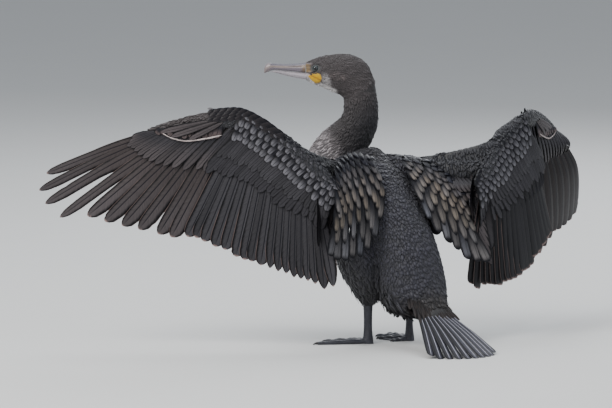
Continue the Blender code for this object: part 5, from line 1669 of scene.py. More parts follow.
    def lay(self, plumes: Plumes, tier: Tier, chart: Chart, row: int) -> None:
        """Lays one row of feathers.

        Args:
            plumes: Where the feathers go.
            tier: The row.
            chart: The map of places for the bake.
            row: The row's number on that map.
        """
        wing, out = self.wing, self.wing.dorsal(tier.segment)
        fine = (np.arange(tier.count) + tier.offset) / (tier.count - 1 + 2 * tier.offset)
        roots = wing.point(tier.segment, blend(np.array(tier.roots), fine), tier.lift[0])
        tips = wing.point(tier.segment, blend(np.array(tier.tips), fine), tier.lift[1])
        if wing.side is Side.RIGHT:
            bulge = (out * 0.8 - UP * 0.8) * tier.belly
            tips = tips + bulge * np.sin(math.pi * fine)[:, None]
        bows = blend(np.array(tier.bow)[:, None], fine)[:, 0]
        for k, f in enumerate(fine):
            if wing.side is Side.RIGHT and tier.shape is Shape.LANCET and f < self.wrist_share:
                continue
            run = unit(tips[k] - roots[k])
            tip = tips[k] + run * self.rng.uniform(-1.0, 1.0) * tier.stray
            middle = (roots[k] + tip) / 2 + out * bows[k]
            width = (tier.width[0] + (tier.width[1] - tier.width[0]) * f)
            shape, twist = tier.shape, 0.0
            if shape is Shape.PRIMARY and k < 4 and wing.side is Side.LEFT:
                shape = Shape.FINGER
            if shape is Shape.SECONDARY and wing.side is Side.RIGHT:
                shape, width = Shape.BROAD, width * 1.25
            elif shape is Shape.SECONDARY and k > 8:
                shape = Shape.SPIKED
            tone = np.array(tier.colour) * self.rng.uniform(0.8, 1.2)
            # painted shade: the right wing's flight feathers darkened
            if wing.side is Side.RIGHT and tier.shape in (Shape.PRIMARY, Shape.SECONDARY):
                tone = tone * self.shaded
            if tier.shape is Shape.PRIMARY:
                middle = middle + UP * (4.5 * (1 - f)) * (1 - 0.5 * (k == 0))
                twist = -3.0 * (wing.side is Side.LEFT)
            plumes.feather(np.array((roots[k], middle, tip)), out[None],
                           width * self.rng.uniform(0.95, 1.05), shape, tone,
                           chart.patch(row, k), tilt=tier.tilt * wing.sign, twist=twist,
                           camber=tier.camber, lead=wing.sign, sections=tier.sections,
                           notches=tier.notches, shaft=tier.shaft)


class CapeDress:
    """The scapulars and the mantle feathers above them, over one shoulder."""

    # place of root and tip down the cape, count, width, height at root and tip, shape, colour
    rows = (
        (0.46, 1.00, 7, 21.0, 0.4, 0.8, Shape.LONG, (0.100, 0.097, 0.104)),
        (0.40, 0.80, 6, 20.0, 1.0, 2.0, Shape.LANCET, (0.125, 0.115, 0.112)),
        (0.36, 0.67, 6, 20.0, 1.6, 3.0, Shape.LANCET, (0.150, 0.130, 0.112)),
        (0.28, 0.57, 7, 19.0, 2.2, 4.0, Shape.LANCET, (0.155, 0.132, 0.115)),
        (0.21, 0.48, 7, 18.0, 2.8, 5.0, Shape.LANCET, (0.150, 0.128, 0.113)),
        (0.14, 0.39, 7, 17.5, 3.0, 6.0, Shape.LANCET, (0.125, 0.110, 0.105)),
        (0.07, 0.30, 8, 17.0, 3.2, 6.8, Shape.LANCET, (0.080, 0.072, 0.074)),
    )
    top_rows = (
        (0.00, 0.21, 8, 17.0, 3.2, 7.6, Shape.LANCET, (0.014, 0.014, 0.020)),
        (0.00, 0.12, 9, 15.0, 3.6, 8.4, Shape.LANCET, (0.009, 0.009, 0.014)),
    )
    # the colour at each feather's root: painted shade, darker where the row above lies over it
    under = (0.012, 0.012, 0.015)
    warmth = np.array((0.5, 0.0, -0.8))

    def __init__(self, cape: Cape, rng: np.random.Generator) -> None:
        """Takes the cape's surface and the source of variety."""
        self.cape, self.rng = cape, rng

    def build(self) -> None:
        """Makes the two pieces of the cape."""
        side = self.cape.side
        self.fan(self.top_rows, "mantle_top_" + side.value).finish(
            GLOSSY.material(), "wing_coverts")
        self.fan(self.rows, "mantle_" + side.value).finish(
            MANTLE.material(), "wing_coverts", "scapulars_" + side.value)

    def fan(self, rows: tuple, name: str) -> Plumes:
        """Lays some rows over the shoulder.

        Args:
            rows: The rows, lowest first.
            name: The piece's name.

        Returns:
            The feathers.
        """
        sign = 1.0 if self.cape.side is Side.LEFT else -1.0
        plumes, chart = Plumes(name, self.rng), Chart(len(rows), 11)
        for row, (start, end, count, width, low, high, shape, tone) in enumerate(rows):
            for k in range(count):
                t = (k + 0.5 * (row % 2) + 0.1) / (count - 0.3)
                t = 0.02 + 0.96 * min(t, 1.0)
                stray = 0.07 if shape is Shape.LONG else 0.025
                reach = end + self.rng.uniform(-stray, 0.3 * stray)
                r = np.array((start, (2 * start + reach) / 3, (start + 2 * reach) / 3, reach))
                lift = np.interp((r - start) / (reach - start), (0, 0.5, 1),
                                 (low, (low + high) / 2 + 0.9, high))
                normals = self.cape.normals(np.full(4, t), r)
                path = self.cape.points(np.full(4, t), r) + normals * lift[:, None]
                warm = np.array((1.0, 1.0, 1.0)) + self.rng.uniform(-0.1, 0.1) * self.warmth
                # painted shade at the root, fading to the tip's colour
                colour = np.array((self.under, tone)) * warm * self.rng.uniform(0.7, 1.2)
                plumes.feather(path, normals, width * self.rng.uniform(0.94, 1.06), shape,
                               colour, chart.patch(row, k), tilt=6.0 * sign, lead=sign,
                               camber=0.13, sections=18 if shape is Shape.LONG else 14)
        return plumes


class TailDress:
    """The tail: long stiff feathers, and the coverts above and below their roots."""

    drop = math.radians(29.0)
    count = 10
    spread = (-20.0, 13.0)
    lengths = (122.0, 154.0)
    feather_colour = ((0.036, 0.036, 0.047), (0.052, 0.051, 0.066))
    covert_colour = ((0.012, 0.010, 0.010), (0.030, 0.023, 0.021))

    def __init__(self, rng: np.random.Generator) -> None:
        """Sets the tail's own directions."""
        self.rng = rng
        self.base = NECK_BASE + TAILWARD * 300.0
        self.line = unit(-FORWARD * math.cos(self.drop) - UP * math.sin(self.drop))
        flat = unit(np.cross(RIGHT, self.line))
        self.flat = flat if flat[2] > 0 else -flat

    def vector(self, turn: float) -> np.ndarray:
        """The way of a feather turned in the tail's plane."""
        a = math.radians(turn)
        return self.line * math.cos(a) + RIGHT * math.sin(a)

    def root_tube(self) -> Tube:
        """The flesh of the tail's root."""
        rows = []
        for s, width, depth in ((-14.0, 33.0, 20.0), (0.3, 30.0, 17.0), (10.0, 29.0, 13.0),
                                (22.0, 27.0, 8.0), (34.0, 23.0, 3.5)):
            lean = min(max(s, 0.0) / 20.0, 1.0)
            rise = unit(DORSAL * (1 - lean) + self.flat * lean)
            place = (self.base - DORSAL * 3.0 * (1 - lean)
                     + (TAILWARD * (1 - lean) + self.line * lean) * s + LEFT * s * 0.22)
            rows.append((place, LEFT * width, rise * depth))
        return Tube.through(rows)

    def build(self) -> None:
        """Makes the tail's pieces."""
        plumes, chart = Plumes("tail_feathers", self.rng), Chart(1, 14)
        for k in range(self.count):
            f = k / (self.count - 1)
            half = 2 * f - 1
            turn = self.spread[0] + (self.spread[1] - self.spread[0]) * f
            length = self.lengths[0] + (self.lengths[1] - self.lengths[0]) * (1 - half * half)
            root = self.base + RIGHT * ((f - 0.5) * 50.0 - 8.0) + self.line * 14.0
            root = root + self.flat * (1.6 * (1 - abs(half)))
            way = self.vector(turn)
            tip = root + way * length
            tip[2] = max(tip[2], 1.2)
            middle = (root + tip) / 2 + self.flat * 2.4
            plumes.feather(np.array((root, middle, tip)), self.flat[None], 16.0, Shape.TAIL,
                           np.array(self.feather_colour) * self.rng.uniform(0.9, 1.1),
                           chart.patch(0, k), tilt=6.0 * (1.0 if half < 0 else -1.0),
                           camber=0.12, sections=26, shaft=0.9, notches=1,
                           lead=1.0 if half < 0 else -1.0)
        plumes.finish(TAIL.material(), "tail_feathers", "tail")
        coverts, chart = Plumes("tail_coverts", self.rng), Chart(8, 18)
        for row, (back, reach, count, wide, lift) in enumerate((
                (-8.0, 38.0, 18, 6.5, 5.0), (-20.0, 22.0, 18, 6.5, 9.0),
                (-32.0, 4.0, 16, 7.0, 14.0), (2.0, 42.0, 9, 12.0, -6.0),
                (-14.0, 26.0, 9, 13.0, -11.0), (-28.0, 12.0, 9, 14.0, -16.0))):
            for k in range(count):
                f = (k + 0.5 * (row % 2)) / count
                across = (f - 0.5) * 52.0 - 7.0
                bend = math.cos((f - 0.5) * math.pi * 0.8)
                out = self.flat * math.copysign(1.0, lift)
                root = self.base + RIGHT * across + self.line * back + self.flat * lift * bend
                way = self.vector(self.spread[0] + (self.spread[1] - self.spread[0]) * f * 1.1)
                length = (reach - back) * self.rng.uniform(0.7, 1.2)
                tip = root + way * length - self.flat * lift * 0.55 * bend
                path = np.array((root, (root + tip) / 2 + out * 2.5, tip))
                coverts.feather(path, out[None], wide * self.rng.uniform(0.85, 1.15), Shape.LONG,
                                np.array(self.covert_colour) * self.rng.uniform(0.7, 1.2),
                                chart.patch(row, k), camber=0.16, sections=9, across=5,
                                tilt=self.rng.uniform(-8.0, 8.0), notches=2)
        coverts.finish(COVERT.material(), "back_feathers")


class Skin:
    """The one skin under all the feathers, with the bare parts of the face."""

    voxel = 2.3 * MM
    lid_radius, lid_thick, lid_beads = 5.1, 0.95, 22.0

    def __init__(self, body: Body, wings: list[Wing], legs: list[Leg], tail: TailDress) -> None:
        """Takes what the skin runs over."""
        self.body, self.wings, self.legs, self.tail = body, wings, legs, tail

    def build(self) -> bpy.types.Object:
        """Makes the skin, and returns it for the coat to grow on."""
        tube = self.body.tube()
        parts = [Modeller.loft("skin", tube, 80, 48, (0.0, self.body.head_start + 0.02), 2.6),
                 Modeller.loft("rump", self.tail.root_tube(), 10, 28, (0.0, 1.0), 2.0)]
        for wing in self.wings:
            parts.append(Modeller.loft("arm", wing.arm(), 12, 28, (0.0, 1.0), 2.0))
            parts.append(Modeller.loft("patagium", wing.patagium(), 24, 28, (0.0, 1.0), 1.5))
            for segment, inset in ((Segment.FOREARM, 1.8), (Segment.HAND, 1.2)):
                parts.append(Modeller.loft("limb", wing.limb(segment), 16, 28, (0.0, 1.0), inset))
        for leg in self.legs:
            parts.append(Modeller.loft("thigh", leg.thigh(), 16, 32, (0.0, 1.0), 2.6))
        skin = Modeller.join("skin", parts)
        Modeller.modify(skin, "REMESH", mode="VOXEL", voxel_size=self.voxel)
        Modeller.modify(skin, "SMOOTH", factor=0.5, iterations=5)
        skin = Modeller.join("skin", [skin, self.face(tube), *self.lids()])
        Modeller.tint(skin, Markings.on_skin(Modeller.coordinates(skin)))
        finish = SkinFinish("bare_skin", cells=1300.0, bump=0.5, roughness=0.5, mottle=0.22)
        dress(skin, finish.material(), 70.0, "head_feathers", "torso", "neck_lower",
              "neck_upper", "head", "thigh_left", "thigh_right", "wing_left_arm",
              "wing_right_arm")
        return skin

    def face(self, tube: Tube) -> bpy.types.Object:
        """The head, with its sockets, brows, lores and gape."""
        head = Modeller.loft("face", tube, 90, 72, (self.body.head_start - 0.03, 1.0), 0.9)
        points, out = Modeller.coordinates(head), Modeller.normals(head)
        u, v = on_sheet(points)
        side = np.abs(points[:, 1] - HEAD_DEPTH)
        flank = smooth(side, 3.0, 8.0)
        eye = np.hypot(u - EYE_PLACE[0], v - EYE_PLACE[1])
        brow = np.abs(v - (63.0 - (u - 314.0) * 0.05)) + np.maximum(np.abs(u - 314.0) - 7.0, 0.0)
        mouth = np.abs(v - (72.4 + (u - 306.0) * 0.33)) + np.maximum(u - 321.0, 0.0)
        move = (-1.5 * np.exp(-(eye / 3.6) ** 2) + 0.9 * np.exp(-(brow / 1.5) ** 2)
                - 0.7 * np.exp(-(mouth / 0.55) ** 2) * (u < 322)
                + 0.9 * Markings.gape_share(u, v) - 0.9 * Markings.lores_share(u, v)
                + 0.25 * ripple(points, 5.0, 4.0) * (u < 326)) * flank
        move = move - 1.9 * smooth(v, 88.0, 97.0) * smooth(u, 330.0, 342.0)
        Modeller.place(head, points + out * move[:, None])
        return head

    def lids(self) -> list[bpy.types.Object]:
        """The rings of skin round the eyes."""
        made = []
        for sign in (-1.0, 1.0):
            Modeller.clear_selection()
            bpy.ops.mesh.primitive_torus_add(major_radius=self.lid_radius * MM,
                                             minor_radius=self.lid_thick * MM,
                                             major_segments=44, minor_segments=12,
                                             rotation=(math.pi / 2, 0.0, -sign * 0.16))
            ring = bpy.context.object
            bpy.ops.object.transform_apply(location=False, rotation=True, scale=True)
            centre = sheet(*EYE_PLACE, HEAD_DEPTH + sign * (EYE_SIDE + 2.3))
            points = Modeller.coordinates(ring) + Place.shift / MM
            angle = np.arctan2(points[:, 2], points[:, 0])
            beads = 0.14 * np.cos(angle * self.lid_beads) * unit(points * (1.0, 0.0, 1.0)).T
            points = points * (1.0, 1.0, 0.9) + beads.T
            Modeller.place(ring, points + centre)
            made.append(ring)
        return made


class Eyes:
    """The two eyes."""

    pupil = np.array((0.003, 0.003, 0.004))
    iris = np.array((0.045, 0.058, 0.062))
    rim = np.array((0.020, 0.020, 0.020))
    # degrees from the middle over which one colour gives way to the next
    pupil_edge, iris_edge = (27.0, 30.0), (50.0, 56.0)

    def build(self) -> None:
        """Makes the eyes."""
        finish = SkinFinish("eye_gloss", cells=700.0, bump=0.02, roughness=0.1, coat=0.25,
                            mottle=0.1).material()
        for side, sign in ((Side.LEFT, -1.0), (Side.RIGHT, 1.0)):
            Modeller.clear_selection()
            bpy.ops.mesh.primitive_uv_sphere_add(segments=48, ring_count=40,
                                                 radius=EYE_RADIUS * MM,
                                                 rotation=(math.pi / 2, 0.0, 0.0))
            eye = bpy.context.object
            eye.name = "eyeball_" + side.value
            bpy.ops.object.transform_apply(location=False, rotation=True, scale=True)
            points = Modeller.coordinates(eye) + Place.shift / MM
            out = points[:, 1] * sign / EYE_RADIUS
            angle = np.degrees(np.arccos(np.clip(out, -1, 1)))
            swell = 1.0 + 0.07 * np.exp(-(angle / 30.0) ** 2)
            spoke = 1 + 0.3 * np.sin(np.arctan2(points[:, 2], points[:, 0]) * 17)[:, None]
            colour = mixed(self.rim, self.iris * spoke, 1 - smooth(angle, *self.iris_edge))
            colour = mixed(colour, self.pupil, 1 - smooth(angle, *self.pupil_edge))
            centre = sheet(*EYE_PLACE, HEAD_DEPTH + sign * EYE_SIDE)
            Modeller.place(eye, points * swell[:, None] + centre)
            Modeller.tint(eye, colour)
            dress(eye, finish, 80.0, "eye", "eye_" + side.value)


@dataclass
class Bill:
    """The two halves of the bill."""

    # place along the bill, top and bottom edges, half width
    upper_rows: tuple = (
        (305.6, 62.2, 72.0, 8.2), (296.0, 62.9, 71.0, 6.4), (286.0, 63.2, 70.2, 5.4),
        (277.0, 62.9, 69.4, 4.8), (272.0, 62.6, 69.6, 4.6), (268.4, 62.9, 71.0, 4.0),
        (265.6, 64.8, 72.0, 3.0), (264.2, 68.0, 72.5, 1.6),
    )
    lower_rows: tuple = (
        (306.5, 72.2, 79.2, 7.8), (296.0, 71.3, 77.4, 6.0), (286.0, 70.5, 75.2, 4.8),
        (278.0, 69.85, 73.0, 3.8), (273.6, 69.9, 71.9, 2.8), (271.4, 70.4, 71.4, 1.4),
    )
    horn = np.array((0.20, 0.175, 0.205))
    culmen = np.array((0.026, 0.027, 0.050))
    warm = np.array((0.36, 0.28, 0.20))
    pale = np.array((0.37, 0.335, 0.365))
    nail = np.array((0.27, 0.22, 0.21))

    @staticmethod
    def tube(rows: tuple) -> Tube:
        """One half as a tube from root to tip."""
        stations = []
        for u, top, bottom, width in rows:
            upper, lower = sheet(u, top, HEAD_DEPTH), sheet(u, bottom, HEAD_DEPTH)
            stations.append(((upper + lower) / 2, TOWARD_VIEWER * width, (upper - lower) / 2))
        return Tube.through(stations)

    def build(self) -> None:
        """Makes both halves."""
        finish = SkinFinish("bill_horn", cells=520.0, bump=0.22, depth=0.0003, roughness=0.36,
                            coat=0.15, mottle=0.28, stretch=(0.25, 1.0, 1.0)).material()
        for name, rows, steps in (("upper", self.upper_rows, 90), ("lower", self.lower_rows, 80)):
            half = Modeller.loft("beak_" + name, self.tube(rows), steps, 40)
            points, out = Modeller.coordinates(half), Modeller.normals(half)
            u, v = on_sheet(points)
            flank = smooth(np.abs(points[:, 1] - HEAD_DEPTH), 0.8, 2.2)
            if name == "upper":
                self.sculpt_upper(half, points, out, u, v, flank)
                colour = self.upper_colour(u, v)
            else:
                wave = 0.12 * ripple(points * (0.4, 1, 1), 3.0, 2.0)
                Modeller.place(half, points + out * (wave * flank)[:, None])
                colour = self.lower_colour(u, v)
            Modeller.tint(half, colour)
            dress(half, finish, 60.0, "bill_horn", "bill_" + name)

    def sculpt_upper(self, half: bpy.types.Object, points: np.ndarray, out: np.ndarray,
                     u: np.ndarray, v: np.ndarray, flank: np.ndarray) -> None:
        """Cuts the long groove and the closed nostril slit, and swells the nail.

        Args:
            half: The upper half.
            points: Its design points.
            out: Its normals.
            u: Their first place on the sheet.
            v: Their second place.
            flank: How far each is on a side face.
        """
        groove = np.abs(v - (66.1 + (300.0 - u) * 0.012))
        slit = groove + np.maximum(np.abs(u - 295.0) - 7.0, 0.0) * 0.6
        plates = np.abs((v - 68.6) / 0.35) + 10.0 * (u < 270)
        move = (-0.38 * np.exp(-(groove / 0.5) ** 2) * smooth(u, 268.0, 274.0)
                - 0.5 * np.exp(-(slit / 0.28) ** 2) - 0.12 * np.exp(-plates ** 2)) * flank
        nail = smooth(273.0 - u, 0.0, 3.0) * 0.35
        Modeller.place(half, points + out * (move + nail)[:, None])

    def upper_colour(self, u: np.ndarray, v: np.ndarray) -> np.ndarray:
        """Colours of the upper half by place."""
        top = np.interp(u, [row[0] for row in self.upper_rows[::-1]],
                        [row[1] for row in self.upper_rows[::-1]])
        down = v - top
        colour = self.horn
        for tone, share in (
            (self.warm, 0.6 * np.exp(-((down - 3.3) / 0.8) ** 2)),
            (self.culmen, 0.85 * (1 - smooth(down, 1.0, 2.1)) * smooth(u, 267.0, 272.0)),
            (self.culmen, 0.6 * np.exp(-((down - 3.0) / 0.4) ** 2) * smooth(u, 286.0, 290.0)),
            (self.nail, 0.5 * smooth(272.0 - u, 0.0, 4.0)),
            (Markings.lores, 0.7 * smooth(u, 299.0, 305.0) * smooth(down, 1.5, 3.0)),
        ):
            colour = mixed(colour, tone, share)
        return colour

    def lower_colour(self, u: np.ndarray, v: np.ndarray) -> np.ndarray:
        """Colours of the lower half by place."""
        bottom = np.interp(u, [row[0] for row in self.lower_rows[::-1]],
                           [row[2] for row in self.lower_rows[::-1]])
        return mixed(self.pale, self.horn, 0.45 * (1 - smooth(bottom - v, 0.3, 1.6)))


class LegDress:
    """One bare leg: shank, webbed foot and claws."""

    # turn outward from the middle toe, length, thickness at the root
    toes = ((22.0, 92.0, 6.0), (0.0, 78.0, 6.5), (-25.0, 58.0, 6.0), (-75.0, 36.0, 5.0))
    skin_colour = np.array((0.030, 0.031, 0.042))
    web_colour = np.array((0.042, 0.043, 0.058))
    claw_colour = np.array((0.020, 0.019, 0.020))
    voxel = 0.9 * MM
    # the reach of the web between the toes, and its thickness
    web_reach, web_thick = 0.86, 1.7
    # the spacing of the scutes on the shank and on the toes
    shank_scutes, toe_scutes = 4.6, 3.4

    def __init__(self, leg: Leg) -> None:
        """Takes the leg's place."""
        self.leg = leg
        self.outward = 1.0 if leg.side is Side.LEFT else -1.0

    def line(self, turn: float) -> np.ndarray:
        """The level direction of a toe."""
        return self.leg.compass(self.leg.turn + turn * self.outward)

    def toe(self, turn: float, length: float, thick: float) -> Tube:
        """A toe with its joints, flat under the sole."""
        line = self.line(turn)
        flank = np.cross(line, UP)
        rows = []
        for s in np.linspace(0.0, 0.9, 13):
            knuckle = 0.09 * math.cos(s / 0.9 * math.pi * 6)
            half = thick * (1.0 - 0.42 * s + knuckle) * (0.8 if s > 0.88 else 1.0)
            rise = half * 0.86
            rows.append((self.leg.place + line * length * s + UP * (rise + 0.1), flank * half,
                         UP * rise))
        return Tube.through(rows)

    def claw(self, turn: float, length: float, thick: float) -> Tube:
        """A curved claw, its tip on the floor."""
        line = self.line(turn)
        flank = np.cross(line, UP)
        return Tube.through([
            (self.leg.place + line * length * s + UP * high, flank * thick * size * 0.8,
             UP * thick * size)
            for s, high, size in ((0.86, 3.0, 0.42), (0.91, 3.9, 0.36), (0.955, 3.4, 0.26),
                                  (0.985, 2.1, 0.15), (1.0, 0.7, 0.05))])

    def web(self, near: tuple[float, ...], far: tuple[float, ...]) -> bpy.types.Object:
        """The skin between two toes.

        Args:
            near: One toe.
            far: The next toe.

        Returns:
            A closed thin sheet.
        """
        Modeller.clear_selection()
        bpy.ops.mesh.primitive_grid_add(x_subdivisions=22, y_subdivisions=22, size=2.0)
        sheet_obj = bpy.context.object
        points = Modeller.coordinates(sheet_obj) + Place.shift / MM
        f = points[:, 0] / 2000.0 + 0.5
        r = points[:, 1] / 2000.0 + 0.5
        turn = np.radians(self.leg.turn + (near[0] + (far[0] - near[0]) * f) * self.outward)
        line = np.stack((-np.sin(turn), np.cos(turn), np.zeros(len(turn))), axis=1)
        reach = (near[1] + (far[1] - near[1]) * f) * self.web_reach
        reach = reach * (1.0 - 0.19 * np.sin(np.pi * f)) * (0.05 + 0.95 * r)
        folds = 0.45 * np.sin(f * 19.0) * r + 0.35 * np.sin(r * 14.0 + f * 5.0)
        high = 2.0 + 2.6 * (1 - r) + 1.2 * (2 * f - 1) ** 2 + folds * np.sin(np.pi * f)
        Modeller.place(sheet_obj, self.leg.place + line * reach[:, None] + UP * high[:, None])
        Modeller.modify(sheet_obj, "SOLIDIFY", thickness=self.web_thick * MM, offset=0.0)
        return sheet_obj

    def build(self) -> None:
        """Makes the leg and its claws."""
        side = self.leg.side.value
        parts = [Modeller.loft("leg", self.leg.tarsus(), 44, 32)]
        parts += [Modeller.loft("toe", self.toe(*toe), 44, 22) for toe in self.toes]
        for near, far in zip(self.toes, self.toes[1:]):
            parts.append(self.web(near, far))
        leg = Modeller.join("leg_" + side, parts)
        Modeller.modify(leg, "REMESH", mode="VOXEL", voxel_size=self.voxel)
        Modeller.modify(leg, "SMOOTH", factor=0.5, iterations=3)
        points, out = Modeller.coordinates(leg), Modeller.normals(leg)
        self.scale(leg, points, out)
        finish = SkinFinish("leg_skin_" + side, cells=430.0, bump=0.9, depth=0.0006,
                            roughness=0.42, mottle=0.35)
        dress(leg, finish.material(), 70.0, "leg_skin", "tarsus_" + side, "foot_" + side)
        claws = Modeller.join("claws_" + side, [Modeller.loft("claw", self.claw(*toe), 14, 16)
                                                for toe in self.toes])
        Modeller.tint(claws, np.repeat(self.claw_colour[None], len(claws.data.vertices), axis=0))
        finish = SkinFinish("claw_horn_" + side, bump=0.15, roughness=0.3, coat=0.2)
        dress(claws, finish.material(), 60.0, "leg_skin")

    def scale(self, leg: bpy.types.Object, points: np.ndarray, out: np.ndarray) -> None:
        """Raises the scutes along the shank and toes, and colours the leg.

        Args:
            leg: The leg.
            points: Its design points.
            out: Its normals.
        """
        apart = points - self.leg.place
        ahead = self.leg.compass(self.leg.turn)
        shank = smooth(points[:, 2], 12.0, 20.0) * smooth(out @ ahead, 0.1, 0.6)
        bands = 0.28 * np.abs(np.sin(points[:, 2] * math.pi / self.shank_scutes)) ** 0.5
        move = bands * shank
        nearest = np.full(len(points), 1e9)
        for turn, length, _ in self.toes:
            line = self.line(turn)
            off = np.abs(apart @ np.cross(line, UP)) + np.where(apart @ line > 0, 0.0, 1e3)
            on_toe = np.exp(-(off / 3.4) ** 2) * smooth(out[:, 2], 0.3, 0.8)
            on_toe = on_toe * smooth(12.0 - points[:, 2], 0.0, 3.0) * (apart @ line < length)
            ridges = np.abs(np.sin((apart @ line) * math.pi / self.toe_scutes)) ** 0.5
            move = move + 0.3 * on_toe * ridges
            nearest = np.minimum(nearest, off)
        points = points + out * move[:, None]
        points[:, 2] = np.maximum(points[:, 2], 0.05)
        Modeller.place(leg, points)
        web = smooth(nearest, 4.0, 7.0) * smooth(9.0 - points[:, 2], 0.0, 3.0)
        colour = mixed(self.skin_colour, self.web_colour, web)
        Modeller.tint(leg, colour * (1 + 0.25 * ripple(points, 14.0, 6.0))[:, None])


class Plumage:
    """The small feathers over the whole body."""

    def __init__(self, skin: bpy.types.Object, body: Body, wings: list[Wing], legs: list[Leg],
                 rng: np.random.Generator) -> None:
        """Takes the skin and what it runs over."""
        self.surface = BVHTree.FromObject(skin, bpy.context.evaluated_depsgraph_get())
        self.body, self.wings, self.legs, self.rng = body, wings, legs, rng

    def build(self) -> None:
        """Makes the pieces of the coat."""
        tube, skin = self.body.tube(), self.surface
        neck, head = self.body.neck_start, self.body.head_start
        body_coat = CoatFinish("body_coat").material()
        torso = Coat("coat_torso", self.rng)
        torso.cover(skin, tube, (0.0, neck + 0.03), (11.5, 8.0), 0.9, density=(0.37, 0.5))
        torso.cover(skin, tube, (0.0, 0.3), (24.0, 6.0), 5.5, density=(0.3, 1.1),
                    keep=self.underside, stray=0.4)
        neck_coat = Coat("coat_neck", self.rng)
        # strengths of the painted light and shade on each coat's wavy ridges
        neck_coat.wave_tone, torso.wave_tone = 0.12, 0.3
        neck_coat.cover(skin, tube, (neck - 0.01, head + 0.03), (8.5, 3.0), 1.3,
                        density=(0.36, 0.7))
        face = Coat("coat_head", self.rng)
        face.wave_tone = 0.12
        face.cover(skin, tube, (head - 0.02, 0.999), (5.0, 1.9), 0.7, keep=self.feathered,
                   density=(0.36, 0.7))
        thighs, arms = Coat("coat_thighs", self.rng), Coat("coat_arms", self.rng)
        arms.wave_tone = 0.25
        for k, leg in enumerate(self.legs):
            thighs.cover(skin, leg.thigh(), (0.0, 1.0), (13.0, 6.5), 2.0,
                         (0.5 * k, 0.5 * k + 0.5), density=(0.36, 0.62), deepest=5.5)
            thighs.cover(skin, leg.thigh(), (0.02, 0.4), (20.0, 4.5), 4.0,
                         (0.5 * k, 0.5 * k + 0.5), density=(0.3, 1.0), deepest=5.5, stray=0.3)
        for k, wing in enumerate(self.wings):
            low = 0.5 * k
            out = wing.out[Segment.FOREARM]
            down = -UP + out * 0.35
            for flesh, ends, size, lift, chart, way in (
                    (wing.arm(), (0.0, 1.0), (12.0, 7.0), 1.6, (0.0, 0.12), down),
                    (wing.patagium(), (0.0, 0.96), (11.0, 6.5), 1.0, (0.12, 0.25), down),
                    (wing.limb(Segment.FOREARM), (0.0, 0.95), (10.0, 6.0), 1.0, (0.25, 0.38),
                     -UP - out * 0.2),
                    (wing.limb(Segment.HAND), (0.05, 1.0), (9.0, 4.6), 0.8, (0.38, 0.5),
                     -UP * 0.4 + wing.out[Segment.HAND])):
                arms.cover(skin, flesh, ends, size, lift, (low + chart[0], low + chart[1]),
                           way=way)
        torso.finish(body_coat, "back_feathers", sharp=180.0)
        neck_coat.finish(CoatFinish("neck_coat", sheen=0.1, roughness=0.68).material(),
                         "neck_feathers", sharp=180.0)
        face.finish(CoatFinish("head_coat", sheen=0.1, roughness=0.68).material(),
                    "head_feathers", sharp=180.0)
        thighs.finish(body_coat, "back_feathers", sharp=180.0)
        arms.finish(body_coat, "wing_coverts", sharp=180.0)

    @staticmethod
    def underside(t: np.ndarray, turn: np.ndarray, roots: np.ndarray) -> np.ndarray:
        """Whether places of the rump lie low, where the coat hangs in tufts."""
        return (roots - NECK_BASE) @ DORSAL < -18.0

    @staticmethod
    def feathered(t: np.ndarray, turn: np.ndarray, roots: np.ndarray) -> np.ndarray:
        """Whether feathers grow at places of the head."""
        return ~Markings.bare(*on_sheet(roots))


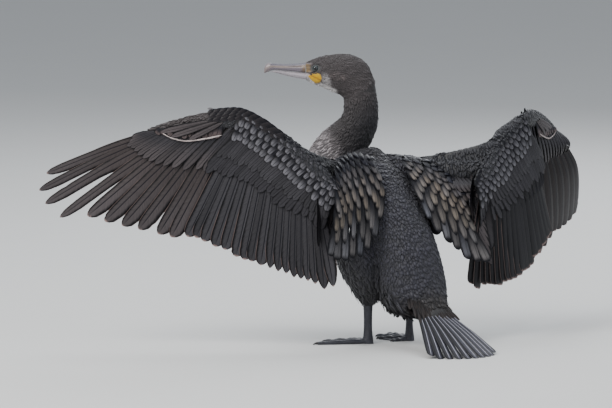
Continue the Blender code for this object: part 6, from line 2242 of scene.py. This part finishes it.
@dataclass
class Studio:
    """The floor, the light and the camera."""

    distance: float = 16.0
    floor_colour: tuple[float, float, float, float] = (0.62, 0.62, 0.61, 1.0)
    sky: tuple[float, float, float, float] = (0.86, 0.92, 1.0, 1.0)
    sky_strength: float = 0.5
    # name, place in metres, width, power, colour
    lights: tuple = (
        ("key", (-1.7, -2.3, 2.5), 1.8, 125.0, (1.0, 0.98, 0.95)),
        ("fill", (2.4, -2.0, 1.3), 2.6, 24.0, (0.93, 0.96, 1.0)),
        ("top", (0.1, 0.5, 2.9), 2.4, 60.0, (0.95, 0.98, 1.0)),
        ("rim", (0.9, 2.6, 1.9), 1.8, 40.0, (0.95, 0.97, 1.0)),
    )

    def build(self) -> None:
        """Sets the stage."""
        Modeller.clear_selection()
        bpy.ops.mesh.primitive_plane_add(size=80.0, location=(0.0, 0.0, 0.0))
        floor = bpy.context.object
        floor.name = "floor"
        nodes = Nodes("floor_paper")
        grain = nodes.add("ShaderNodeTexNoise", {"Vector": nodes.place(), "Scale": 6.0})
        colour = nodes.mix(nodes.math("MULTIPLY", grain.outputs[0], 0.1), self.floor_colour,
                           grey(0.5))
        floor.data.materials.append(nodes.finish(colour, grain.outputs[0], 0.02, 0.001, 0.85))
        world = bpy.data.worlds.new("studio")
        world.use_nodes = True
        background = world.node_tree.nodes["Background"]
        background.inputs[0].default_value = self.sky
        background.inputs[1].default_value = self.sky_strength
        bpy.context.scene.world = world
        for row in self.lights:
            self.light(*row)
        self.camera()

    def light(self, name: str, place: tuple[float, float, float], size: float, energy: float,
              tint: tuple[float, float, float]) -> None:
        """Adds a soft square light that looks at the bird.

        Args:
            name: Its name.
            place: Where it hangs, in metres.
            size: Its width.
            energy: Its power.
            tint: Its colour.
        """
        data = bpy.data.lights.new(name, "AREA")
        data.size, data.energy, data.color = size, energy, tint
        lamp = bpy.data.objects.new(name, data)
        bpy.context.scene.collection.objects.link(lamp)
        lamp.location = place
        lamp.rotation_euler = (Vector((0.0, 0.0, 0.22)) - Vector(place)).to_track_quat(
            "-Z", "Y").to_euler()

    def camera(self) -> None:
        """Adds the camera that frames the bird as the photograph does."""
        data = bpy.data.cameras.new("camera")
        data.sensor_width = 36.0
        data.lens = 36.0 * self.distance / (FRAME_WIDTH * SHEET_SCALE * MM)
        data.clip_end = 200.0
        camera = bpy.data.objects.new("camera", data)
        bpy.context.scene.collection.objects.link(camera)
        middle = Place.world(sheet(FRAME_WIDTH / 2, FRAME_HEIGHT / 2, 0.0))
        view = np.array((0.0, math.cos(SHEET_TILT), -math.sin(SHEET_TILT)))
        camera.location = middle - view * self.distance
        camera.rotation_euler = (math.pi / 2 - SHEET_TILT, 0.0, 0.0)
        bpy.context.scene.camera = camera


def main() -> None:
    """Builds the bird's looks, piece by piece."""
    logging.basicConfig(level=logging.INFO, format="%(message)s")
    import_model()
    Place.settle()
    rng = np.random.default_rng(SEED)
    body = Body()
    wings = [Wing(side) for side in Side]
    legs = [Leg(side) for side in Side]
    tail = TailDress(rng)
    Studio().build()
    skin = Skin(body, wings, legs, tail).build()
    Eyes().build()
    Bill().build()
    for leg in legs:
        LegDress(leg).build()
    tail.build()
    for wing in wings:
        WingDress(wing, rng).build()
        CapeDress(Cape(wing.side, body), rng).build()
    Plumage(skin, body, wings, legs, rng).build()


if __name__ == "__main__":
    main()
